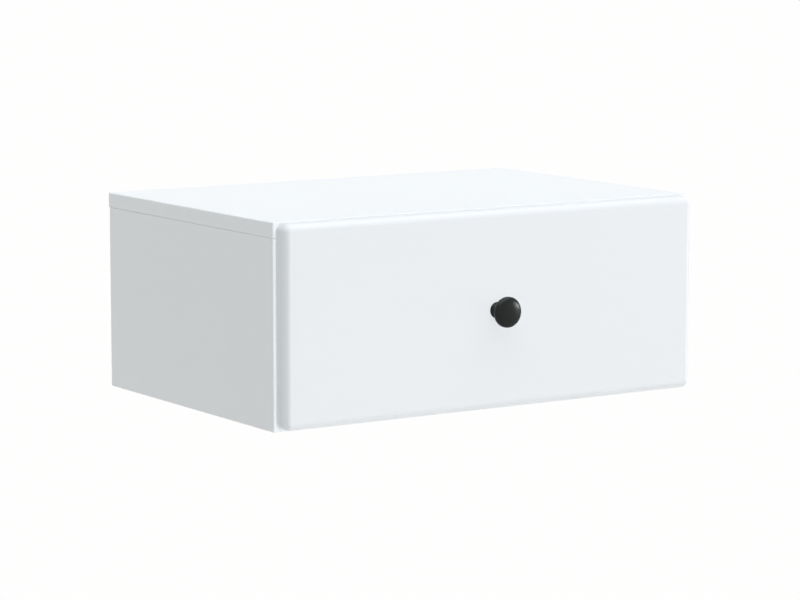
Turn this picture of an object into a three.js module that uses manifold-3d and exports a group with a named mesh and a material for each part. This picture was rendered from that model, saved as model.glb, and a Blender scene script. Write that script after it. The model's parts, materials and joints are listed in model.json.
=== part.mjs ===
// Floating nightstand with one drawer, in millimetres, +Z up.
// The wall is the plane Y = 0 and the front looks along -Y. The origin is the centre of the wall
// rail's rear face, which is what holds the cabinet up.

import * as THREE from 'three';
import { mergeVertices } from 'three/addons/utils/BufferGeometryUtils.js';
import Module from 'manifold-3d';

const wasm = await Module();
wasm.setup();

// Carcase
const carcaseWidth = 514;
const carcaseHeight = 210;
const sideDepth = 343;
const topRearOverhang = 2;
const panelThickness = 16;
const backThickness = 3;
const backRecess = 24;
const grooveDepth = 8;
const fibreboardPlay = 0.25;

// Hanging batten and its two bent rails
const battenRailMargin = 1;
const railEndSetback = 46;
const railSheet = 2;
const railDrop = 24;
const railOffset = 5;
const lipHeight = 9.7;
const wallRailHeight = 34;
const cabinetRailHeight = 34;
const hookHeight = 10;
const hookPlay = 0.3;
const railHoleInset = 35;
const wallSlotRadius = 3;
const wallSlotLength = 14;
const wallSlotRise = 9;
const railScrewRise = 8;

// Drawer front
const frontThickness = 16;
const frontEdgeRadius = 8;
const frontCornerRadius = 8.5;
const frontGap = 1;
const sideReveal = 3;
const topReveal = 1;
const bottomReveal = 2;

// Drawer box
const boxSideThickness = 12;
const boxLift = 34;
const boxTopClearance = 30;
const boxGrooveLift = 10;
const boxGrooveDepth = 6;
const boxEdgeRadius = 4;
const boxBottomThickness = 3;

// Knob
const knobFootRadius = 8.5;
const knobFootHeight = 2;
const knobNeckRadius = 5.6;
const knobNeckHeight = 9.5;
const knobFlareRadius = 8.5;
const knobFlareHeight = 14.5;
const knobHeadRadius = 16;
const knobUnderHeight = 17.7;
const knobRimHeight = 20;
const knobHeight = 25;
const knobCrownPower = 2.6;
const knobBoreDepth = 10;

// Ball-bearing runners: u is measured from the side panel to the drawer side, v from mid-height
const runnerWidth = 12.7;
const runnerSideGap = 0.3;
const runnerRise = 50;
const runnerSetback = 2;
const runnerRearClearance = 14;
const runnerSheet = 1.2;
const ballRadius = 2;
const racePlay = 0.3;
const outerBallOut = 4.4;
const outerBallRise = 19;
const raceTurnDegrees = -45;
const webGap = 1.3;
const cageSheet = 0.5;
const cageEndPlay = 16;
const cageBallsPerRow = 4;
const cageEndMargin = 3;
const cageGripShare = 0.9;
const intermediateShortening = 8;
const memberSlotLength = 16;
const memberSlotWidth = 5;
const memberSlotPitch = 60;
const memberSlotMargin = 12;
const screwSetback = 37;
const drawerScrewSetback = 69;

// Release lever on the drawer member
const leverLength = 44;
const leverThickness = 2;
const leverTuck = 3;
const leverHubRadius = 5;
const leverPinRadius = 1.8;
const leverPinHeadRadius = 3;
const leverTipRadius = 4;
const leverPadHeight = 2.4;
const leverPadLength = 12;

// Fittings
const holePlay = 0.3;
const screwRadius = 1.75;
const screwHeadRadius = 3.4;
const screwHeadDepth = 2.2;
const screwSunk = 0.1;
const runnerScrewLength = 11;
const railScrewLength = 15;
const frontScrewLength = 25;
const frontScrewInset = 40;
const frontScrewDrop = 40;
const knobScrewRadius = 2;
const knobScrewHeadRadius = 4;
const knobScrewHeadHeight = 2.4;
const knobScrewReach = 8;
const camRadius = 7.2;
const camHeight = 12;
const camSetback = 34;
const camSlotWidth = 1.4;
const camSlotLength = 8;
const camSlotDepth = 1.6;
const camFrontInset = 37;
const camRearInset = 60;
const dowelThreadRadius = 3;
const dowelThreadLength = 10.5;
const dowelThreadTip = 1;
const dowelCollarRadius = 3.6;
const dowelCollarLength = 2.5;
const dowelShankRadius = 2.5;
const dowelNeckRadius = 1.8;
const dowelNeckLength = 3;
const dowelHeadRadius = 3.4;
const dowelHeadLength = 6;
const battenCamRise = 30;

// Facets on round features, and how far a cutting tool runs past the face it opens
const fineSides = 24;
const boreSides = 12;
const screwSides = 10;
const dowelSides = 8;
const ballSides = 8;
const ballRings = 4;
const arcSteps = 5;
const cutOverrun = 1;

// Colours
const WHITE_FOIL = { color: 0xf4f6f8, roughness: 0.42, metalness: 0 };
const WHITE_LACQUER = { color: 0xf1f3f5, roughness: 0.36, metalness: 0 };
const WHITE_BOARD = { color: 0xeceeef, roughness: 0.6, metalness: 0 };
const BLACK_METAL = { color: 0x1d1f1f, roughness: 0.35, metalness: 0.2 };
const ZINC_STEEL = { color: 0xb9bdc1, roughness: 0.32, metalness: 1 };
const BRIGHT_STEEL = { color: 0xd0d3d6, roughness: 0.18, metalness: 1 };
const DIE_CAST_ZINC = { color: 0xa6a8aa, roughness: 0.45, metalness: 0.9 };
const BLACK_PLASTIC = { color: 0x18191a, roughness: 0.55, metalness: 0 };

// Planes worked out from the sizes above
const halfWidth = carcaseWidth / 2;
const innerHalfWidth = halfWidth - panelThickness;
const sideHeight = carcaseHeight - panelThickness;
const sideRearY = -topRearOverhang;
const carcaseFrontY = sideRearY - sideDepth;
const backFrontY = sideRearY - backRecess - backThickness;
const backRearY = sideRearY - backRecess;
const frontRearY = carcaseFrontY - frontGap;
const frontFaceY = frontRearY - frontThickness;
const frontWidth = carcaseWidth - 2 * sideReveal;
const frontHeight = carcaseHeight - topReveal - bottomReveal;
const frontMidZ = bottomReveal + frontHeight / 2;
const boxHalfWidth = innerHalfWidth - runnerWidth - runnerSideGap;
const boxInnerHalfWidth = boxHalfWidth - boxSideThickness;
const boxFrontY = frontRearY;
const boxTopZ = sideHeight - boxTopClearance;
const boxGrooveZ = boxLift + boxGrooveLift;
const boxFloorZ = boxGrooveZ + fibreboardPlay + boxBottomThickness;
const battenRearY = backRearY + panelThickness;
const railHalfLength = innerHalfWidth - railEndSetback;
const railHoleX = railHalfLength - railHoleInset;
const hookTopZ = sideHeight - railDrop - railSheet / 2;
const cabinetRailLowZ = hookTopZ - cabinetRailHeight;
const battenLowZ = cabinetRailLowZ - battenRailMargin;
const wallRailTopZ = hookTopZ - railSheet / 2 - hookPlay - lipHeight;
const wallRailLowZ = wallRailTopZ - wallRailHeight;
const wallRailMidZ = wallRailLowZ + wallRailHeight / 2;
const runnerFrontY = carcaseFrontY + runnerSetback;
const runnerRearY = backFrontY - runnerRearClearance;
const runnerLength = runnerRearY - runnerFrontY;
const runnerLift = boxLift + runnerRise;
const boxRearY = boxFrontY + runnerLength;
const SIDES = [{ name: 'left', sign: -1 }, { name: 'right', sign: 1 }];

// Solids, cuts and unions

function toSolid(geometry) {
  const bare = geometry.clone();
  bare.deleteAttribute('normal');
  bare.deleteAttribute('uv');
  const merged = mergeVertices(bare);
  return new wasm.Manifold(new wasm.Mesh({
    numProp: 3,
    vertProperties: new Float32Array(merged.attributes.position.array),
    triVerts: new Uint32Array(merged.index.array),
  }));
}

function toGeometry(solid) {
  const mesh = solid.getMesh();
  const geometry = new THREE.BufferGeometry();
  geometry.setAttribute('position', new THREE.BufferAttribute(new Float32Array(mesh.vertProperties), 3));
  geometry.setIndex(new THREE.BufferAttribute(new Uint32Array(mesh.triVerts), 1));
  geometry.computeVertexNormals();
  return geometry;
}

function cut(geometry, tools) {
  return toGeometry(tools.reduce((body, tool) => body.subtract(toSolid(tool)), toSolid(geometry)));
}

function join(geometry, extras) {
  return toGeometry(extras.reduce((body, extra) => body.add(toSolid(extra)), toSolid(geometry)));
}

// Basic forms, each placed where it stands

function block(lowX, highX, lowY, highY, lowZ, highZ) {
  const box = new THREE.BoxGeometry(highX - lowX, highY - lowY, highZ - lowZ);
  return box.translate((lowX + highX) / 2, (lowY + highY) / 2, (lowZ + highZ) / 2);
}

// A frame whose +Z runs along a direction and whose +X points to a chosen side
function placement(origin, along, side) {
  const axisZ = new THREE.Vector3(...along);
  const axisX = new THREE.Vector3(...side);
  const axisY = new THREE.Vector3().crossVectors(axisZ, axisX);
  return new THREE.Matrix4().makeBasis(axisX, axisY, axisZ).setPosition(...origin);
}

// Any direction square to an axis, for round pieces that may turn freely about it
function sideways(along) {
  return Math.abs(along[2]) > 0.5 ? [1, 0, 0] : [0, 0, 1];
}

// A revolved piece: the profile lists [radius, distance along the axis] from one end to the other
function turned(profile, sides, origin, along) {
  const points = profile.map(([radius, reach]) => new THREE.Vector2(radius, reach));
  const lathe = new THREE.LatheGeometry(points, sides);
  lathe.rotateX(Math.PI / 2);
  lathe.applyMatrix4(placement(origin, along, sideways(along)));
  return lathe;
}

function rod(radius, length, sides, origin, along) {
  return turned([[0, 0], [radius, 0], [radius, length], [0, length]], sides, origin, along);
}

// A section in the X-Z plane drawn out along Y
function alongY(shape, lowY, highY) {
  const bar = new THREE.ExtrudeGeometry(shape, { depth: highY - lowY, bevelEnabled: false });
  return bar.rotateX(Math.PI / 2).translate(0, highY, 0);
}

// A section in the Y-Z plane drawn out along X
function alongX(shape, lowX, highX) {
  const bar = new THREE.ExtrudeGeometry(shape, { depth: highX - lowX, bevelEnabled: false });
  const turn = new THREE.Matrix4().makeBasis(
    new THREE.Vector3(0, 1, 0),
    new THREE.Vector3(0, 0, 1),
    new THREE.Vector3(1, 0, 0),
  );
  return bar.applyMatrix4(turn).translate(lowX, 0, 0);
}

function polygon(points) {
  return new THREE.Shape(points.map(([a, b]) => new THREE.Vector2(a, b)));
}

function arc(centre, radius, fromDegrees, toDegrees, steps = arcSteps) {
  return Array.from({ length: steps + 1 }, (_, i) => {
    const angle = THREE.MathUtils.degToRad(fromDegrees + (toDegrees - fromDegrees) * i / steps);
    return [centre[0] + radius * Math.cos(angle), centre[1] + radius * Math.sin(angle)];
  });
}

// The outline of a bent strip of sheet: its middle line, thickened to both sides with mitred bends
function stripShape(middleLine, sheet) {
  const points = middleLine.map(([a, b]) => new THREE.Vector2(a, b));
  const outer = [];
  const inner = [];
  points.forEach((point, i) => {
    const before = point.clone().sub(points[i - 1] ?? points[i + 1]).normalize();
    const after = (points[i + 1] ?? points[i - 1]).clone().sub(point).normalize();
    if (i === 0) before.negate();
    if (i === points.length - 1) after.negate();
    const bisector = before.clone().add(after).normalize();
    const reach = sheet / 2 / bisector.dot(after);
    const offset = new THREE.Vector2(-bisector.y, bisector.x).multiplyScalar(reach);
    outer.push(point.clone().add(offset));
    inner.push(point.clone().sub(offset));
  });
  return new THREE.Shape([...outer, ...inner.reverse()]);
}

// A slot with round ends, drawn along Y on a face whose normal is X
function slotTool(lowX, highX, midY, midZ, length, width) {
  const reach = (length - width) / 2;
  const outline = [
    ...arc([midY + reach, midZ], width / 2, -90, 90),
    ...arc([midY - reach, midZ], width / 2, 90, 270),
  ];
  return alongX(polygon(outline), lowX, highX);
}

const nightstand = new THREE.Group();
nightstand.position.z = -wallRailMidZ;

function addPart(name, geometry, finish) {
  const mesh = new THREE.Mesh(geometry, new THREE.MeshStandardMaterial(finish));
  mesh.name = name;
  nightstand.add(mesh);
  return mesh;
}

// Countersunk wood screw: origin at the head's flat face, pointing along its shank
function screwProfile(length, play = 0) {
  return [
    [0, -play],
    [screwHeadRadius + play, -play],
    [screwRadius + play, screwHeadDepth],
    [screwRadius + play, length - screwRadius],
    [0, length + play],
  ];
}

function screw(length, origin, along) {
  return turned(screwProfile(length), screwSides, origin, along);
}

function screwHole(length, origin, along) {
  const mouth = [[0, -cutOverrun], [screwHeadRadius + holePlay, -cutOverrun]];
  const profile = [...mouth, ...screwProfile(length, holePlay).slice(1)];
  return turned(profile, screwSides, origin, along);
}

// Cam fitting in its own frame: the joint plane is Z = 0, the dowel runs along Z into the board
// that holds the cam, and X points out of the face in which the cam is bored.
const camFaceX = panelThickness / 2;
const camFloorX = camFaceX - camHeight - holePlay;
const dowelHeadStart = camSetback - dowelHeadLength / 2;

function camDowelGeometry() {
  return turned([
    [0, -dowelThreadLength],
    [dowelThreadRadius, dowelThreadTip - dowelThreadLength],
    [dowelThreadRadius, 0],
    [dowelCollarRadius, 0],
    [dowelCollarRadius, dowelCollarLength],
    [dowelShankRadius, dowelCollarLength],
    [dowelShankRadius, dowelHeadStart - dowelNeckLength],
    [dowelNeckRadius, dowelHeadStart - dowelNeckLength / 2],
    [dowelNeckRadius, dowelHeadStart],
    [dowelHeadRadius, dowelHeadStart + dowelNeckLength / 2],
    [dowelHeadRadius, dowelHeadStart + dowelHeadLength - dowelNeckLength / 2],
    [0, dowelHeadStart + dowelHeadLength],
  ], dowelSides, [0, 0, 0], [0, 0, 1]);
}

function camLockGeometry() {
  const sunkFaceX = camFaceX - screwSunk;
  const body = rod(camRadius, camHeight, fineSides, [sunkFaceX - camHeight, 0, camSetback], [1, 0, 0]);
  const throat = dowelShankRadius + holePlay;
  const hollow = dowelHeadRadius + holePlay;
  const headRoom = dowelHeadLength / 2 + holePlay;
  const below = sunkFaceX - camHeight - cutOverrun;
  return cut(body, [
    block(below, throat, -throat, throat, camSetback - camRadius - cutOverrun, camSetback),
    block(below, hollow, -hollow, hollow, camSetback - headRoom, camSetback + headRoom),
    block(sunkFaceX - camSlotDepth, sunkFaceX + cutOverrun, -camSlotWidth / 2, camSlotWidth / 2,
      camSetback - camSlotLength / 2, camSetback + camSlotLength / 2),
    block(sunkFaceX - camSlotDepth, sunkFaceX + cutOverrun, -camSlotLength / 2, camSlotLength / 2,
      camSetback - camSlotWidth / 2, camSetback + camSlotWidth / 2),
  ]);
}

function camThreadBore() {
  const depth = dowelThreadLength + holePlay;
  return rod(dowelThreadRadius + holePlay, depth + cutOverrun, boreSides, [0, 0, -depth], [0, 0, 1]);
}

function camBores() {
  const reach = camSetback + cutOverrun;
  const shank = rod(dowelCollarRadius + holePlay, reach, boreSides, [0, 0, -cutOverrun], [0, 0, 1]);
  const depth = camHeight + holePlay + cutOverrun;
  const cam = rod(camRadius + holePlay, depth, fineSides, [camFloorX, 0, camSetback], [1, 0, 0]);
  return [shank, cam];
}

// Where the cam fittings sit: two for each end of the top and bottom panels, one for each end of
// the batten
const camFittings = [];
for (const { name, sign } of SIDES) {
  const rows = [['front', carcaseFrontY + camFrontInset], ['rear', sideRearY - camRearInset]];
  for (const [row, y] of rows) {
    camFittings.push({
      name: `top_${name}_${row}`,
      threadBoard: 'top_panel',
      camBoard: `${name}_side_panel`,
      frame: placement([sign * (halfWidth - panelThickness / 2), y, sideHeight], [0, 0, -1], [-sign, 0, 0]),
    });
    camFittings.push({
      name: `bottom_${name}_${row}`,
      threadBoard: `${name}_side_panel`,
      camBoard: 'bottom_panel',
      frame: placement([sign * innerHalfWidth, y, panelThickness / 2], [-sign, 0, 0], [0, 0, 1]),
    });
  }
  camFittings.push({
    name: `batten_${name}`,
    threadBoard: `${name}_side_panel`,
    camBoard: 'hanging_batten',
    frame: placement(
      [sign * innerHalfWidth, battenRearY - panelThickness / 2, battenLowZ + battenCamRise],
      [-sign, 0, 0],
      [0, 1, 0],
    ),
  });
}

function camToolsFor(board) {
  return camFittings.flatMap(({ threadBoard, camBoard, frame }) => [
    ...(threadBoard === board ? [camThreadBore().applyMatrix4(frame)] : []),
    ...(camBoard === board ? camBores().map((tool) => tool.applyMatrix4(frame)) : []),
  ]);
}

// Runner screws: along X from the runner's webs into the side panel and into the drawer side
const cabinetScrewYs = { front: runnerFrontY + screwSetback, rear: runnerRearY - screwSetback };
const drawerScrewYs = { front: runnerFrontY + drawerScrewSetback, rear: runnerRearY - screwSetback };
const drawerRunnerHalf = boxHalfWidth + runnerSideGap;

function cabinetScrewStart(sign, y) {
  return [sign * (innerHalfWidth - runnerSheet + screwSunk), y, runnerLift];
}

function drawerScrewStart(sign, y) {
  return [sign * (drawerRunnerHalf + runnerSheet - screwSunk), y, runnerLift];
}

function drawerScrewHoles(sign) {
  return Object.values(drawerScrewYs).map(
    (y) => screwHole(runnerScrewLength, drawerScrewStart(sign, y), [-sign, 0, 0]),
  );
}

// Carcase panels
function backGroove() {
  const wide = innerHalfWidth + grooveDepth;
  const lowZ = panelThickness - grooveDepth;
  return block(-wide, wide, backFrontY - fibreboardPlay, backRearY, lowZ, sideHeight + grooveDepth);
}

addPart('top_panel', cut(
  block(-halfWidth, halfWidth, carcaseFrontY, 0, sideHeight, carcaseHeight),
  [backGroove(), ...camToolsFor('top_panel')],
), WHITE_FOIL);

addPart('bottom_panel', cut(
  block(-innerHalfWidth, innerHalfWidth, carcaseFrontY, sideRearY, 0, panelThickness),
  [backGroove(), ...camToolsFor('bottom_panel')],
), WHITE_FOIL);

for (const { name, sign } of SIDES) {
  const xs = [sign * innerHalfWidth, sign * halfWidth].sort((a, b) => a - b);
  const board = `${name}_side_panel`;
  const screwHoles = Object.values(cabinetScrewYs).map(
    (y) => screwHole(runnerScrewLength, cabinetScrewStart(sign, y), [sign, 0, 0]),
  );
  addPart(board, cut(
    block(...xs, carcaseFrontY, sideRearY, 0, sideHeight),
    [backGroove(), ...camToolsFor(board), ...screwHoles],
  ), WHITE_FOIL);
}

const backReach = grooveDepth - fibreboardPlay;
addPart('back_panel', block(
  -innerHalfWidth - backReach, innerHalfWidth + backReach,
  backFrontY, backRearY,
  panelThickness - backReach, sideHeight + backReach,
), WHITE_BOARD);

// Hanging batten under the top, behind the back panel, with the cabinet rail's screws
const cabinetRailFaceY = battenRearY + railSheet;
const railScrewZ = cabinetRailLowZ + railScrewRise;

function railScrewStart(sign) {
  return [sign * railHoleX, cabinetRailFaceY - screwSunk, railScrewZ];
}

addPart('hanging_batten', cut(
  block(-innerHalfWidth, innerHalfWidth, backRearY, battenRearY, battenLowZ, sideHeight),
  [
    ...camToolsFor('hanging_batten'),
    ...SIDES.map(({ sign }) => screwHole(railScrewLength, railScrewStart(sign), [0, -1, 0])),
  ],
), WHITE_FOIL);

// The two bent rails: the wall rail's lip stands up, the cabinet rail's hook reaches down behind it
const lipMidY = -railOffset - railSheet / 2;
const wallRailLine = [
  [-railSheet / 2, wallRailLowZ],
  [-railSheet / 2, wallRailTopZ - railOffset],
  [lipMidY, wallRailTopZ],
  [lipMidY, wallRailTopZ + lipHeight],
];
const hookMidY = (lipMidY + railSheet / 2) / 2;
const cabinetRailMidY = battenRearY + railSheet / 2;
const cabinetRailLine = [
  [cabinetRailMidY, cabinetRailLowZ],
  [cabinetRailMidY, hookTopZ],
  [hookMidY, hookTopZ],
  [hookMidY, hookTopZ - hookHeight],
];

function wallSlot(sign) {
  const reach = wallSlotLength / 2 - wallSlotRadius;
  const midX = sign * railHoleX;
  const midZ = wallRailLowZ + wallSlotRise;
  const outline = [
    ...arc([midX + reach, midZ], wallSlotRadius, -90, 90),
    ...arc([midX - reach, midZ], wallSlotRadius, 90, 270),
  ];
  return alongY(polygon(outline), -railSheet - cutOverrun, cutOverrun);
}

addPart('wall_rail', cut(
  alongX(stripShape(wallRailLine, railSheet), -railHalfLength, railHalfLength),
  SIDES.map(({ sign }) => wallSlot(sign)),
), ZINC_STEEL);

addPart('cabinet_rail', cut(
  alongX(stripShape(cabinetRailLine, railSheet), -railHalfLength, railHalfLength),
  SIDES.map(({ sign }) => screwHole(railScrewLength, railScrewStart(sign), [0, -1, 0])),
), ZINC_STEEL);

for (const { name, sign } of SIDES) {
  addPart(`rail_screw_${name}`, screw(railScrewLength, railScrewStart(sign), [0, -1, 0]), BRIGHT_STEEL);
}

// Cam locks and cam dowels, placed as whole pieces
for (const { name, frame } of camFittings) {
  const lock = addPart(`cam_lock_${name}`, camLockGeometry(), DIE_CAST_ZINC);
  lock.applyMatrix4(frame);
  const dowel = addPart(`cam_dowel_${name}`, camDowelGeometry(), BRIGHT_STEEL);
  dowel.applyMatrix4(frame);
}

// Drawer front: a slab whose front edges roll over, cut flat at the rear
function roundedRectangle(width, height, radius) {
  const x = width / 2 - radius;
  const z = height / 2 - radius;
  return polygon([
    ...arc([x, z], radius, 0, 90),
    ...arc([-x, z], radius, 90, 180),
    ...arc([-x, -z], radius, 180, 270),
    ...arc([x, -z], radius, 270, 360),
  ]);
}

const boxFrontInnerY = boxFrontY + boxSideThickness;
const knobScrewZ = frontMidZ;

function frontScrewStart(sign) {
  const x = sign * (boxInnerHalfWidth - frontScrewInset);
  return [x, boxFrontInnerY - screwSunk, boxTopZ - frontScrewDrop];
}

function knobScrewHole() {
  const length = frontThickness + boxSideThickness + 2 * cutOverrun;
  const origin = [0, boxFrontInnerY + cutOverrun, knobScrewZ];
  return rod(knobScrewRadius + holePlay, length, boreSides, origin, [0, -1, 0]);
}

const rolledSlab = new THREE.ExtrudeGeometry(roundedRectangle(frontWidth, frontHeight, frontCornerRadius), {
  depth: 2 * (frontThickness - frontEdgeRadius),
  bevelEnabled: true,
  bevelThickness: frontEdgeRadius,
  bevelSize: frontEdgeRadius,
  bevelOffset: -frontEdgeRadius,
  bevelSegments: arcSteps,
});
rolledSlab.rotateX(Math.PI / 2).translate(0, frontFaceY + 2 * frontThickness - frontEdgeRadius, frontMidZ);

const rearWaste = block(
  -carcaseWidth, carcaseWidth,
  frontRearY, frontRearY + 2 * frontThickness,
  -carcaseHeight, 2 * carcaseHeight,
);
addPart('drawer_front', cut(rolledSlab, [
  rearWaste,
  knobScrewHole(),
  ...SIDES.map(({ sign }) => screwHole(frontScrewLength, frontScrewStart(sign), [0, -1, 0])),
]), WHITE_LACQUER);

// Drawer box: profiles with a rounded upper edge and a groove for the bottom
function boxWallSection(outerAt, innerAt, lowAt, grooveAt) {
  const across = Math.sign(innerAt - outerAt);
  const topOuter = arc([outerAt + across * boxEdgeRadius, boxTopZ - boxEdgeRadius], boxEdgeRadius,
    across > 0 ? 180 : 0, 90);
  const topInner = arc([innerAt - across * boxEdgeRadius, boxTopZ - boxEdgeRadius], boxEdgeRadius,
    90, across > 0 ? 0 : 180);
  const groove = grooveAt === null ? [] : [
    [innerAt, grooveAt + boxBottomThickness + 2 * fibreboardPlay],
    [innerAt - across * boxGrooveDepth, grooveAt + boxBottomThickness + 2 * fibreboardPlay],
    [innerAt - across * boxGrooveDepth, grooveAt],
    [innerAt, grooveAt],
  ];
  return polygon([[outerAt, lowAt], ...topOuter, ...topInner, ...groove, [innerAt, lowAt]]);
}

for (const { name, sign } of SIDES) {
  const section = boxWallSection(sign * boxHalfWidth, sign * boxInnerHalfWidth, boxLift, boxGrooveZ);
  addPart(`drawer_box_${name}`, cut(
    alongY(section, boxFrontY, boxRearY),
    drawerScrewHoles(sign),
  ), WHITE_BOARD);
}

const boxFrontSection = boxWallSection(boxFrontY, boxFrontInnerY, boxLift, boxGrooveZ);
addPart('drawer_box_front', cut(
  alongX(boxFrontSection, -boxInnerHalfWidth, boxInnerHalfWidth),
  [
    knobScrewHole(),
    ...SIDES.map(({ sign }) => screwHole(frontScrewLength, frontScrewStart(sign), [0, -1, 0])),
  ],
), WHITE_BOARD);

addPart('drawer_box_rear', alongX(
  boxWallSection(boxRearY, boxRearY - boxSideThickness, boxFloorZ + fibreboardPlay, null),
  -boxInnerHalfWidth,
  boxInnerHalfWidth,
), WHITE_BOARD);

const boxBottomReach = boxGrooveDepth - fibreboardPlay;
addPart('drawer_box_bottom', block(
  -boxInnerHalfWidth - boxBottomReach, boxInnerHalfWidth + boxBottomReach,
  boxFrontInnerY - boxBottomReach, boxRearY,
  boxGrooveZ + fibreboardPlay, boxFloorZ,
), WHITE_BOARD);

// Knob and its screw, on one axis through the middle of the front; the crown is a superellipse,
// flatter in the middle and rounder at the rim than an ellipse
const crownOf = (share) => share ** (2 / knobCrownPower);
const knobDome = arc([0, 0], 1, 0, 90, arcSteps + 1).map(([across, up]) => [
  crownOf(across) * knobHeadRadius,
  knobRimHeight + crownOf(up) * (knobHeight - knobRimHeight),
]);
const knobSeat = [0, frontFaceY, knobScrewZ];
addPart('drawer_knob', cut(turned([
  [0, 0],
  [knobFootRadius, 0],
  [knobFootRadius, knobFootHeight],
  [knobNeckRadius, knobNeckHeight],
  [knobFlareRadius, knobFlareHeight],
  [knobHeadRadius, knobUnderHeight],
  ...knobDome,
], fineSides, knobSeat, [0, -1, 0]), [
  rod(knobScrewRadius + holePlay, knobBoreDepth + cutOverrun, boreSides,
    [0, frontFaceY + cutOverrun, knobScrewZ], [0, -1, 0]),
]), BLACK_METAL);

const knobScrewLength = boxSideThickness + frontThickness + knobScrewReach;
addPart('knob_screw', turned([
  [0, -knobScrewHeadHeight],
  [knobScrewHeadRadius - knobScrewHeadHeight / 2, -knobScrewHeadHeight],
  [knobScrewHeadRadius, 0],
  [knobScrewRadius, 0],
  [knobScrewRadius, knobScrewLength],
  [0, knobScrewLength],
], boreSides, [0, boxFrontInnerY, knobScrewZ], [0, -1, 0]), BRIGHT_STEEL);

for (const { name, sign } of SIDES) {
  addPart(`front_screw_${name}`, screw(frontScrewLength, frontScrewStart(sign), [0, -1, 0]), BRIGHT_STEEL);
}

// Runner sections, on the upper half; the lower half mirrors them
const raceRadius = ballRadius + racePlay + runnerSheet / 2;
const raceTurn = THREE.MathUtils.degToRad(raceTurnDegrees);
const outerBall = [outerBallOut, outerBallRise];
const innerBall = [
  outerBallOut + 2 * raceRadius * Math.cos(raceTurn),
  outerBallRise + 2 * raceRadius * Math.sin(raceTurn),
];
const cabinetWebU = runnerSheet / 2;
const intermediateWebU = runnerSheet + webGap + runnerSheet / 2;
const drawerWebU = runnerWidth - runnerSheet / 2;
const outerCageWebU = runnerSheet + webGap / 2;
const innerCageWebU = intermediateWebU + runnerSheet / 2 + webGap / 2;
const webMeetsRace = Math.acos((outerBallOut - intermediateWebU) / raceRadius);
const webMeetsRaceDegrees = 180 + THREE.MathUtils.radToDeg(webMeetsRace);
const lipDegrees = 20;
const shoulderDegrees = 140;
const drawerShoulderDegrees = 320;
const drawerLipDegrees = 215;

const cabinetMemberHalf = [
  [cabinetWebU, outerBallRise],
  ...arc(outerBall, raceRadius, shoulderDegrees, lipDegrees),
];
const intermediateHalf = [
  ...arc(outerBall, raceRadius, webMeetsRaceDegrees, 360 + raceTurnDegrees, arcSteps - 1),
  ...arc(innerBall, raceRadius, 180 + raceTurnDegrees, lipDegrees / 2).slice(1),
];
const drawerMemberHalf = [
  [drawerWebU, innerBall[1] - raceRadius],
  ...arc(innerBall, raceRadius, drawerShoulderDegrees, drawerLipDegrees, arcSteps - 1),
];
const outerCageHalf = [
  [outerCageWebU, outerBallRise - ballRadius / 2],
  [outerCageWebU + ballRadius / 2, outerBallRise],
  [outerBallOut + ballRadius * cageGripShare, outerBallRise],
];
const innerCageHalf = [
  [innerCageWebU, innerBall[1] - ballRadius / 2],
  [innerCageWebU + ballRadius / 2, innerBall[1]],
  [innerBall[0] + ballRadius * cageGripShare, innerBall[1]],
];

// Both halves of a runner section, set on the left or right side of the drawer
function runnerSection(half, sheet, sign) {
  const lower = half.map(([u, v]) => [u, -v]).reverse();
  const line = [...lower, ...half].map(([u, v]) => [sign * (innerHalfWidth - u), runnerLift + v]);
  return stripShape(line, sheet);
}

function ballRow(ball, sign, midY, rise) {
  const pitch = (cageLength - 2 * cageEndMargin) / (cageBallsPerRow - 1);
  return Array.from({ length: cageBallsPerRow }, (_, i) => {
    const y = midY + pitch * (i - (cageBallsPerRow - 1) / 2);
    const sphere = new THREE.SphereGeometry(ballRadius, ballSides, ballRings);
    return sphere.translate(sign * (innerHalfWidth - ball[0]), y, runnerLift + rise * ball[1]);
  });
}

function cage(half, ball, sign, midY) {
  const strip = alongY(runnerSection(half, cageSheet, sign), midY - cageLength / 2, midY + cageLength / 2);
  return join(strip, [...ballRow(ball, sign, midY, 1), ...ballRow(ball, sign, midY, -1)]);
}

// Access slots along a member's web, as many as its pitch allows between two places
function memberSlots(sign, webU, lowY, highY) {
  const xs = [sign * (innerHalfWidth - webU - runnerSheet), sign * (innerHalfWidth - webU + runnerSheet)];
  xs.sort((a, b) => a - b);
  const room = highY - lowY - 2 * memberSlotMargin - memberSlotLength;
  const gaps = Math.floor(room / memberSlotPitch);
  const firstY = (lowY + highY - gaps * memberSlotPitch) / 2;
  return Array.from({ length: gaps + 1 }, (_, i) => (
    slotTool(...xs, firstY + i * memberSlotPitch, runnerLift, memberSlotLength, memberSlotWidth)
  ));
}

// Cage places: each keeps inside both of its members through the whole travel
const travel = runnerLength;
const intermediateLength = runnerLength - intermediateShortening;
const intermediateFrontY = runnerFrontY + intermediateShortening / 4;
const cageLength = intermediateLength - travel / 2 - 2 * cageEndPlay;
const intermediateRearY = intermediateFrontY + intermediateLength;
const outerCageMidY = (runnerFrontY + intermediateRearY - travel / 2) / 2 + travel / 4;
const innerCageMidY = (intermediateFrontY - travel / 2 + runnerRearY - travel) / 2 + travel * 3 / 4;
const leverPivotY = intermediateFrontY + travel / 2 + leverTuck;
const leverMidU = runnerWidth - runnerSheet - racePlay - leverThickness / 2;
const leverPinHeadU = leverMidU - leverThickness / 2 - racePlay;

function leverPin(sign) {
  const start = [sign * (innerHalfWidth - runnerWidth + runnerSheet / 2), leverPivotY, runnerLift];
  const reach = runnerWidth - runnerSheet / 2 - leverPinHeadU;
  return turned([
    [0, 0],
    [leverPinRadius, 0],
    [leverPinRadius, reach],
    [leverPinHeadRadius, reach],
    [leverPinHeadRadius, reach + leverPadHeight / 2],
    [0, reach + leverPadHeight / 2],
  ], boreSides, start, [sign, 0, 0]);
}

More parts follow.
